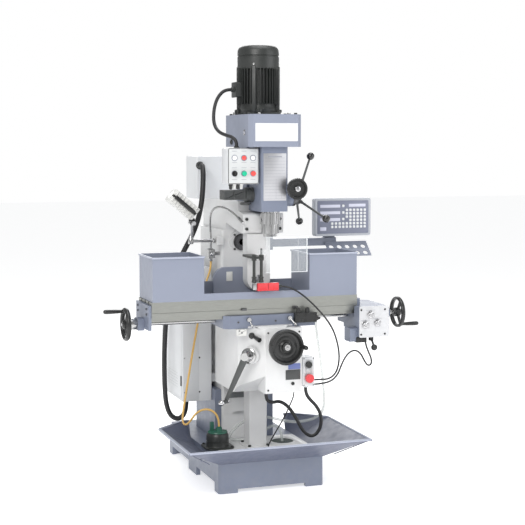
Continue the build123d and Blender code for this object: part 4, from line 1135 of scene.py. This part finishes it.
def makeLamp(made):
    x, y, z = made["centre"]
    long, deep, tall = made["long"], made["deep"], made["tall"]
    parts = []
    for side in (-1, 1):
        inner, outer = side * 0.004, side * tall
        shell = roundBox("shell", (x - long, y - deep + 0.004, z + min(inner, outer)),
                         (x + long, y + deep - 0.004, z + max(inner, outer)), 0.010, 0, 0.002)
        rib = roundBox("rib", (x - long + 0.012, y - deep, z + min(inner, outer) - 0.0015),
                       (x - long + 0.017, y + deep, z + max(inner, outer) + 0.0015), 0.011, 0)
        ribs = copiesAt(rib, [(0.0198 * i, 0, 0) for i in range(made["ribs"])])
        parts += [shell, ribs]
    shellPiece = turnAbout(joined("lampShells", parts), made["centre"], (0, 1, 0), made["tilt"])
    fit(shellPiece, "lamp_head", "lampWhite", "white_plastic", "lamp_head")
    grip = roundBox("grip", (x - 0.060, y - deep - 0.013, z - 0.009),
        (x + 0.056, y - deep + 0.006, z + 0.009), 0.005, 0, 0.002)
    band = roundBox("band", (x - long + 0.006, y - deep + 0.002, z - 0.005),
        (x + long - 0.004, y + deep - 0.002, z + 0.005), 0.002, 0)
    nose = roundBox("nose", (x + long - 0.008, y - 0.026, z - 0.020),
        (x + long + 0.001, y + 0.026, z + 0.020), 0.008, 0)
    dark = turnAbout(joined("lampGrip", [grip, band, nose]), made["centre"], (0, 1, 0), made["tilt"])
    px, py, pz = made["pivot"]
    cheeks = []
    for start in (-0.092, -0.0556):
        cheeks.append(bar("cheek", (px, start, pz), (px, start + 0.0116, pz), 0.011, 28))
        cheeks.append(plate("strap", (px - 0.009, start, pz + 0.002),
            (px + 0.009, start + 0.0116, pz + 0.017)))
    bridge = plate("bridge", (px - 0.009, -0.092, pz + 0.015), (px + 0.009, -0.044, pz + 0.023))
    stem = bar("stem", (px, py, pz + 0.020), (-0.292, -0.070, 1.290), 0.007)
    fit(joined("lampGrip", [dark, bridge, stem] + cheeks), "lamp_head", "blackPlastic", "black_plastic")
    lens = turned("lampLens", (x, y, z), (-1, 0, 0), [(0.0745, 0.024), (0.0765, 0.022), (0.0775, 0.014)],
        32)
    fit(turnAbout(lens, made["centre"], (0, 1, 0), made["tilt"]), "lamp_head", "lensWhite", "white_plastic")
    screw = turned("lampKnob", (px, 0, pz), (0, -1, 0),
        [(0.0955, 0.006), (0.097, 0.011), (0.104, 0.012), (0.107, 0.009)], 18)
    fit(screw, "lamp_arm", "chromed", "chrome")
    socket = turned("lampSocket", (-0.275, -0.046, 0), (0, 0, 1),
                    [(1.1255, 0.012), (1.129, 0.0135), (1.152, 0.0135), (1.157, 0.010), (1.165, 0.009)], 32)
    collar = turned("collar", (0, -0.046, 1.140), (1, 0, 0),
        [(-0.165, 0.010), (-0.163, 0.012), (-0.152, 0.012), (-0.1505, 0.010)], 24)
    fit(joined("lampSocket", [socket, collar]), "lamp_arm", "brightSteel", "steel")


guardMade = {"rods": (-0.095, -0.060), "y": -0.462, "low": (-0.082, -0.478, 0.936),
    "high": (0.020, -0.455, 0.972)}


def makeGuardPost(made):
    y = made["y"]
    parts = [roundBox("plate", (-0.104, -0.470, 1.083), (-0.048, -0.3162, 1.093), 0.006, 2)]
    for x in made["rods"]:
        parts.append(bar("rod", (x, y, 0.981), (x, y, 1.104), 0.0068, 24))
        for z in (1.0755, 1.0935, 0.9935):
            parts.append(turned("nut", (x, y, z), (0, 0, 1),
                [(0, 0.0105), (0.001, 0.0115), (0.0065, 0.0115), (0.0075, 0.0105)], 6))
        parts.append(turned("foot", (x, y, 0.975), (0, 0, 1),
                            [(0, 0.009), (0.0015, 0.0110), (0.007, 0.0112), (0.009, 0.0095), (0.0165, 0.0095)], 18))
    parts.append(bar("pin", (-0.060, y, 1.099), (-0.060, y, 1.130), 0.0049, 20))
    fit(joined("guardRods", parts), "frame", "blackEnamel", "black_metal", "guard_post")
    low, high = made["low"], made["high"]
    middle = (low[0] + high[0]) / 2
    left = roundBox("half", low, (middle - 0.0008, high[1], high[2]), 0.003, 0)
    right = roundBox("half", (middle + 0.0008, low[1], low[2]), high, 0.003, 0)
    left = insetFaces(left, facing((0, -1, 0)), 0.004, -0.001)
    right = insetFaces(right, facing((0, -1, 0)), 0.004, -0.001)
    fit(joined("guardSwitch", [left, right]), "frame", "redPlastic", "red_plastic")
    core = plate("guardSwitchCore", (low[0] + 0.004, low[1] + 0.003, low[2] + 0.003),
        (high[0] - 0.002, high[1] - 0.003, high[2] - 0.003))
    gland = turned("gland", (high[0] - 0.003, y, 0.954), (1, 0, 0),
        [(0, 0.011), (0.006, 0.011), (0.008, 0.009), (0.018, 0.0075), (0.022, 0.005)], 12)
    fit(joined("guardSwitchCore", [core, gland]), "frame", "blackPlastic", "black_plastic")
    key = roundBox("guardKey", (-0.103, -0.472, 0.941), (-0.0835, -0.459, 0.974), 0.003, 0)
    pin = bar("pin", (-0.0945, -0.4655, 0.973), (-0.0945, -0.4655, 0.985), 0.004)
    fit(joined("guardKey", [key, pin]), "frame", "brightSteel", "steel")


guardEdgesMade = [
    # low corner, high corner, rounding
    ((-0.0375, -0.4648, 1.0165), (0.1645, -0.4592, 1.0195), 0.0004),
    ((0.1610, -0.4655, 1.0165), (0.1648, -0.4585, 1.1815), 0.0004),
    ((-0.0375, -0.4648, 1.1785), (0.1645, -0.4592, 1.1815), 0.0004),
    ((0.1180, -0.4650, 1.0165), (0.1196, -0.4640, 1.1815), 0.0002),
]


def makeGuardEdges(made):
    # polished edges of the clear guard, drawn brighter and more opaque than its face: a painted highlight
    edges = [plate("edge", low, high, rounding) for low, high, rounding in made]
    fit(joined("guardEdges", edges), "guard_shield", "guardEdgeHighlight", "clear_plastic")


pumpMade = {"x": -0.188, "y": -0.192, "deck": 0.160}


def makePump(made):
    x, y, deck = made["x"], made["y"], made["deck"]
    flange = roundBox("flange", (x - 0.070, y - 0.070, deck + 0.0002), (x + 0.070, y + 0.070, deck + 0.009),
        0.035, 2)
    body = turned("body", (x, y, deck), (0, 0, 1),
                  [(0.008, 0.056), (0.012, 0.054), (0.030, 0.054), (0.031, 0.0525), (0.034, 0.0525),
                  (0.035, 0.054), (0.060, 0.053),
                   (0.066, 0.050), (0.072, 0.046)], 56)
    bolt = screwHead("bolt", (x - 0.054, y - 0.054, deck + 0.009), (0, 0, 1), 0.006, 0.005)
    bolts = ringOf(bolt, 4, (x, y, 0))
    fit(joined("pumpBody", [flange, body, bolts]), "frame", "blackEnamel", "pump_green", "coolant_pump")
    cap = turned("cap", (x, y, deck), (0, 0, 1),
        [(0.0715, 0.047), (0.074, 0.048), (0.078, 0.046), (0.080, 0.038)], 48)
    rib = plate("rib", (x - 0.046, y - 0.002, deck + 0.0785), (x + 0.046, y + 0.002, deck + 0.0815))
    neck = turned("neck", (-0.183, -0.200, deck), (0, 0, 1),
                  [(0.079, 0.017), (0.083, 0.016), (0.096, 0.0145), (0.097, 0.012), (0.102, 0.0115)], 28)
    valve = roundBox("valve", (-0.222, -0.190, deck + 0.079), (-0.204, -0.172, deck + 0.122), 0.003, 2)
    fit(joined("pumpTop", [cap, rib, neck, valve]), "frame", "pumpGreen", "pump_green")


sumpMade = {"centre": (0.150, -0.170, 0.1585), "radius": 0.0525}


def makeSumpGrid(made):
    x, y, z = made["centre"]
    ring = ringAt("ring", (x, y, z), (0, 0, 1), made["radius"], 0.0022)
    parts = [ring, ringAt("eye", (x, y, z), (0, 0, 1), 0.0125, 0.0018)]
    for step in range(-4, 5):
        shift = 0.0115 * step
        reach = math.sqrt(made["radius"] ** 2 - shift ** 2)
        gapHalf = math.sqrt(max(0.0125 ** 2 - shift ** 2, 0))
        for side in (-1, 1):
            near, far = x + side * gapHalf, x + side * reach
            parts.append(plate("wire", (min(near, far), y + shift - 0.0009, z - 0.0009),
                               (max(near, far), y + shift + 0.0009, z + 0.0009), 0.0003))
            near, far = y + side * gapHalf, y + side * reach
            parts.append(plate("wire", (x + shift - 0.0009, min(near, far), z - 0.0009),
                               (x + shift + 0.0009, max(near, far), z + 0.0009), 0.0003))
    fit(joined("sumpGrid", parts), "frame", "gridGreen", "pump_green")
    deck = roundBox("deckSheet", (-0.205, -0.425, 0.1600), (0.246, -0.045, 0.1613), 0.008, 2, 0.0004)
    hole = turned("hole", (x, y, 0.150), (0, 0, 1), [(0, 0.0545), (0.03, 0.0545)], 48)
    fit(cutThrough(deck, hole), "frame", "castWhite", "cream_casting")


def makeKneeTrim():
    fit(roundBox("kneePlate", (0.058, -0.5014, 0.572), (0.117, -0.4998, 0.599), 0.002, 1, 0.0003), "knee",
        "plateBlue", "slate_paint")
    fit(roundBox("kneeDarkPlate", (0.045, -0.5014, 0.524), (0.117, -0.4998, 0.570), 0.002, 1, 0.0003),
        "knee", "handleGrey", "black_metal")
    dark = [screwHead("plug", (0.080, -0.4995, 0.506), (0, -1, 0), 0.008, 0.005)]
    for z in (0.656, 0.684, 0.711):
        dark.append(screwHead("screw", (-0.0195, -0.5078, z), (0, -1, 0), 0.0052, 0.004))
    for x, z in ((0.112, 0.640), (0.112, 0.745), (-0.040, 0.745), (-0.040, 0.480)):
        dark.append(screwHead("screw", (x, -0.4995, z), (0, -1, 0), 0.0045, 0.003))
    fit(joined("kneeScrews", dark), "knee", "blackEnamel", "black_metal")
    tab = bar("clampTab", (-0.098, -0.452, 0.728), (-0.085, -0.512, 0.716), 0.0075, 24, 0.011)
    pivot = turned("pivot", (-0.100, -0.4515, 0.730), (-0.7071, -0.7071, 0),
        [(0, 0.014), (0.010, 0.014), (0.013, 0.010)], 28)
    fit(joined("kneeClamp", [tab, pivot]), "knee", "blackPlastic", "black_plastic")
    seat = turned("crankSeat", (-0.099, -0.452, 0.642), (-0.7071, -0.7071, 0),
        [(0.010, 0.040), (0.026, 0.0395), (0.030, 0.036)], 56)
    fit(seat, "knee", "castWhite", "cream_casting")


def makeKneeCrank():
    way = Vector((-0.7071068, -0.7071068, 0))
    start = Vector((-0.1225, -0.4755, 0.642))
    hub = turned("crankHub", start, way,
                 [(0, 0.030), (0.001, 0.036), (0.010, 0.036), (0.012, 0.033), (0.013, 0.027),
                 (0.032, 0.026), (0.038, 0.022),
                  (0.048, 0.021), (0.051, 0.018)], 56)
    fit(hub, "knee_crank", "brightSteel", "steel", "knee_crank")
    armStart, armEnd = Vector((-0.150, -0.503, 0.642)), Vector((-0.222, -0.431, 0.428))
    arm = bar("crankArm", armStart, armEnd, 0.017, 28, 0.0095)
    turnBack = way.to_track_quat("Z", "Y").to_matrix().to_4x4()
    flatten = Matrix.Translation(armStart) @ turnBack @ Matrix.Diagonal((1, 1, 0.62,
        1)) @ turnBack.inverted() @ Matrix.Translation(-armStart)
    arm.data.transform(flatten)
    sleeve = bar("sleeve", armEnd + way * -0.014, armEnd + way * 0.034, 0.0095, 24)
    fit(joined("crankArm", [arm, sleeve]), "knee_crank", "handleGrey", "black_metal")
    ends = []
    for spot, size in ((armEnd + way * 0.040, 0.0138), (armEnd - way * 0.018, 0.0118)):
        ends.append(turned("ball", spot - way * size, way,
                           [(0, size * 0.35), (size * 0.3, size * 0.75), (size * 0.7, size * 0.96),
                           (size, size),
                            (size * 1.3, size * 0.96), (size * 1.7, size * 0.75), (size * 2, size * 0.35)], 32, 60))
    fit(joined("crankBalls", ends), "knee_crank", "chromed", "chrome")


def makeSaddleTrim():
    strip = plate("slideScale", (-0.124, -0.4618, 0.7665), (0.092, -0.4598, 0.7765), 0.0004)
    ticks = copiesAt(plate("tick", (-0.121, -0.4622, 0.7715), (-0.1204, -0.4614, 0.7755), 0.0001),
        [(0.0085 * i, 0, 0) for i in range(25)])
    fit(strip, "saddle", "plateSilver", "steel")
    fit(ticks, "saddle", "ruleGrey", "black_metal")
    reader = roundBox("reader", (-0.179, -0.470, 0.733), (-0.133, -0.448, 0.7630), 0.003, 1)
    fit(insetFaces(reader, facing((0, -1, 0)), 0.003, -0.0008), "knee", "lampWhite", "white_plastic")
    dots = [screwHead("screw", (-0.156, -0.4692, 0.748), (0, -1, 0), 0.0035, 0.0022),
            screwHead("screw", (-0.168, -0.4692, 0.757), (0, -1, 0), 0.0028, 0.0022)]
    fit(joined("readerScrews", dots), "knee", "darkMetal", "black_metal")
    screws = []
    for x in (-0.170, 0.010, 0.180):
        screws.append(screwHead("screw", (x, -0.4598, 0.795), (0, -1, 0), 0.0045, 0.003))
    fit(joined("saddleScrews", screws), "saddle", "darkMetal", "black_metal")
    lead = turned("switchBoot", (0.205, -0.472, 0.800), (1, 0, 0),
        [(-0.001, 0.011), (0.006, 0.011), (0.012, 0.008), (0.020, 0.006)], 20)
    caps = [screwHead("cap", (x, -0.4838, z), (0, -1, 0), 0.0045, 0.003) for x in (0.106, 0.150, 0.196)
        for z in (0.792, 0.820)]
    stops = [turned("roller", (x, -0.471, 0.846), (0, -1, 0), [(-0.006, 0.007), (0.006, 0.007)], 24)
        for x in (0.118, 0.162)]
    fit(joined("switchTrim", [lead] + caps + stops), "saddle", "blackPlastic", "black_plastic")


def makeTableTrim():
    # T-slot stops on the table's front edge, bracket screws and the rear reader block
    dark = []
    for y in (-0.400, -0.240):
        for z in (0.866, 0.842):
            dark.append(screwHead("screw", (-0.5838, y, z), (-1, 0, 0), 0.0055, 0.004))
    for y in (-0.418, -0.222):
        for z in (0.862, 0.768):
            dark.append(screwHead("screw", (0.4408, y, z), (1, 0, 0), 0.0055, 0.004))
    fit(joined("bracketScrews", dark), "table", "darkMetal", "black_metal")
    stop = roundBox("tableStop", (0.100, -0.4470, 0.845), (0.126, -0.4395, 0.857), 0.002, 1)
    other = roundBox("tableStop", (-0.150, -0.4470, 0.845), (-0.124, -0.4395, 0.857), 0.002, 1)
    fit(joined("tableStops", [stop, other]), "table", "darkMetal", "black_metal")
    scale = plate("rearReader", (-0.152, -0.2262, 0.960), (-0.122, -0.2210, 1.004), 0.001)
    fit(scale, "table", "lampWhite", "white_plastic")
    sleeve = turned("screwSleeve", (0, -0.320, 0.790), (-1, 0, 0),
        [(0.611, 0.0255), (0.613, 0.0265), (0.640, 0.0262), (0.6425, 0.024)], 48)
    fit(sleeve, "table", "brightSteel", "steel")


def makeCabinetTrim():
    dark = []
    for z in (0.390, 0.560, 0.760, 0.950):
        dark.append(screwHead("screw", (-0.214, 0.0222, z), (0, -1, 0), 0.0042, 0.002))
        dark.append(screwHead("screw", (-0.290, 0.0222, z), (0, -1, 0), 0.0036, 0.002))
    for z in (0.420, 0.920):
        hinge = bar("hinge", (-0.3008, 0.044, z), (-0.3008, 0.044, z + 0.05), 0.0048, 20)
        dark.append(hinge)
    lock = turned("lock", (-0.2998, 0.385, 0.690), (-1, 0, 0),
        [(0, 0.014), (0.002, 0.014), (0.003, 0.009), (0.006, 0.0085)], 24)
    fit(joined("cabinetScrews", dark + [lock]), "frame", "blackEnamel", "black_metal")
    door = roundBox("cabinetDoor", (-0.3018, 0.040, 0.365), (-0.2995, 0.405, 0.980), 0.004, 0, 0.0006)
    seam = roundBox("cabinetFlap", (-0.2960, 0.0204, 0.350), (-0.2180, 0.0225, 0.995), 0.003, 1, 0.0006)
    fit(joined("cabinetDoors", [door, seam]), "frame", "panelWhite", "cabinet_paint")
    hatch = roundBox("topHatch", (-0.180, 0.3345, 1.345), (0.140, 0.3362, 1.535), 0.004, 1, 0.0006)
    fit(hatch, "frame", "panelWhite", "cabinet_paint")
    seat = turned("conduitGland", (-0.175, 0.139, 1.500), (0, -1, 0),
        [(0, 0.020), (0.006, 0.020), (0.008, 0.017), (0.020, 0.0165), (0.024, 0.0145)], 12)
    low = turned("conduitGlandLow", (-0.225, 0.221, 0.3455), (0, 0, -1),
        [(0, 0.020), (0.006, 0.020), (0.008, 0.017), (0.020, 0.0165), (0.024, 0.0145)], 12)
    fit(joined("conduitGlands", [seat, low]), "frame", "blackPlastic", "black_plastic")


splashMade = {
    "boxes": ((-0.570, -0.322), (0.180, 0.426)), "front": -0.4462, "back": -0.1938,
    "low": 1.0925, "high": 1.1000, "wall": 0.0022, "over": 0.0002,
}


def makeSplashRims(made):
    front, back, wall = made["front"], made["back"], made["wall"]
    rims = []
    for left, right in made["boxes"]:
        near, far = left - made["over"], right + made["over"]
        for low, high in (((left, front), (right, front + wall)), ((left, back - wall), (right, back)),
                          ((near, front), (near + wall, back)), ((far - wall, front), (far, back))):
            rims.append(plate("lip", (*low, made["low"]), (*high, made["high"]), 0.0006))
    # the rims take the lighter lip colour, a painted highlight along the splash boxes' edges
    fit(joined("splashLips", rims), "table", "lipHighlightPaint", "slate_paint")


trayMade = {
    "corners": ((-0.278, 0.090), (-0.4365, -0.050), (-0.4365, -0.5855), (0.4365, -0.5855), (0.4365, -0.050),
    (0.278, 0.090)),
    "height": 0.2345, "radius": 0.0064, "cornerRadius": 0.0066, "seams": (-0.30, 0.30),
}


def makeTrayRoll(made):
    # rolled lip of the tray, lighter than its wall: a painted highlight
    corners, z = made["corners"], made["height"]
    rolls = [bar("roll", (*start, z), (*end, z), made["radius"], 16) for start,
        end in zip(corners, corners[1:])]
    rolls += [knob("corner", (*corner, z), made["cornerRadius"], 16) for corner in corners[1:-1]]
    fit(joined("trayRoll", rolls), "frame", "lipHighlightPaint", "tray_paint")
    seams = []
    for x in made["seams"]:
        seams.append(bar("seam", (x * 1.02, -0.450, 0.1465), (x * 1.43, -0.575, 0.2285), 0.0022, 12))
    fit(joined("traySeams", seams), "frame", "trayPaint", "tray_paint")


louvresMade = {"rows": (0.870, 0.400), "count": 6, "pitch": 0.014}


def makeRearTrim(made):
    # the cabinet's louvres, guessed
    groups = []
    for z in made["rows"]:
        louvre = roundBox("louvre", (-0.3032, 0.110, z), (-0.3010, 0.330, z + 0.0045), 0.001, 0, 0.0003)
        groups.append(copiesAt(louvre, [(0, 0, made["pitch"] * step) for step in range(made["count"])]))
    fit(joined("cabinetLouvres", groups), "frame", "panelWhite", "cabinet_paint")


def makeNozzle():
    tip = turned("coolantNozzle", (-0.1160, -0.2620, 1.2710), (0.018, -0.118, -0.046),
                 [(0.022, 0.0055), (0.024, 0.0075), (0.045, 0.0075), (0.047, 0.0065), (0.078, 0.0055), (0.080, 0.0035)], 24)
    fit(tip, "frame", "chromed", "chrome")
    lever = plate("lever", (-0.186, -0.012, 1.094), (-0.150, 0.002, 1.099))
    spindle = turned("spindle", (-0.162, -0.023, 1.073), (0, -1, 0),
        [(-0.002, 0.010), (0.004, 0.010), (0.005, 0.006), (0.012, 0.006)], 20)
    fit(joined("coolantLever", [lever, spindle]), "frame", "chromed", "chrome")


def makeBoxFront():
    # gasketed lid of the knee's control box, and its screws
    lid = roundBox("boxLid", (0.1295, -0.5026, 0.4885), (0.1860, -0.4998, 0.6235), 0.004, 1, 0.0006)
    for z, size in ((0.590, 0.0146), (0.528, 0.0112)):
        hole = turned("hole", (0.156, -0.510, z), (0, 1, 0), [(0, size), (0.02, size)], 40)
        lid = cutThrough(lid, hole)
    fit(lid, "knee", "panelWhite", "white_plastic")
    screws = [screwHead("screw", (x, -0.5022, z), (0, -1, 0), 0.003, 0.0016) for x in (0.1345, 0.181)
        for z in (0.494, 0.618)]
    fit(joined("boxScrews", screws), "knee", "darkMetal", "black_metal")


makeMotor(motorMade)
makeGearCaseTrim(gearCaseMade)
makeHeadPlate(headPlateMade)
makeControlPanel(panelMade)
print("head pieces made")
makeReadout(readoutMade)
makeCapstan(capstanMade)
makeFineWheel(fineWheelMade)
makeLamp(lampMade)
makeGuardPost(guardMade)
makeGuardEdges(guardEdgesMade)
makeNozzle()
print("readout, lamp and guard made")
makeCrossWheel(crossWheelMade)
makeTableWheels(tableWheelMade)
makeGearboxFront(gearboxMade)
for side, (x, z) in zip(("left", "right", "top"), gearboxMade["knobs"]):
    makeGearboxKnob(side, x, z)
makeTableTrim()
makeSplashRims(splashMade)
makeTrayRoll(trayMade)
makeRearTrim(louvresMade)
makeSaddleTrim()
print("table and saddle pieces made")
makeKneeTrim()
makeKneeCrank()
makeBoxFront()
makePump(pumpMade)
makeSumpGrid(sumpMade)
makeCabinetTrim()
print("knee, pump and cabinet pieces made")


print("all pieces made")
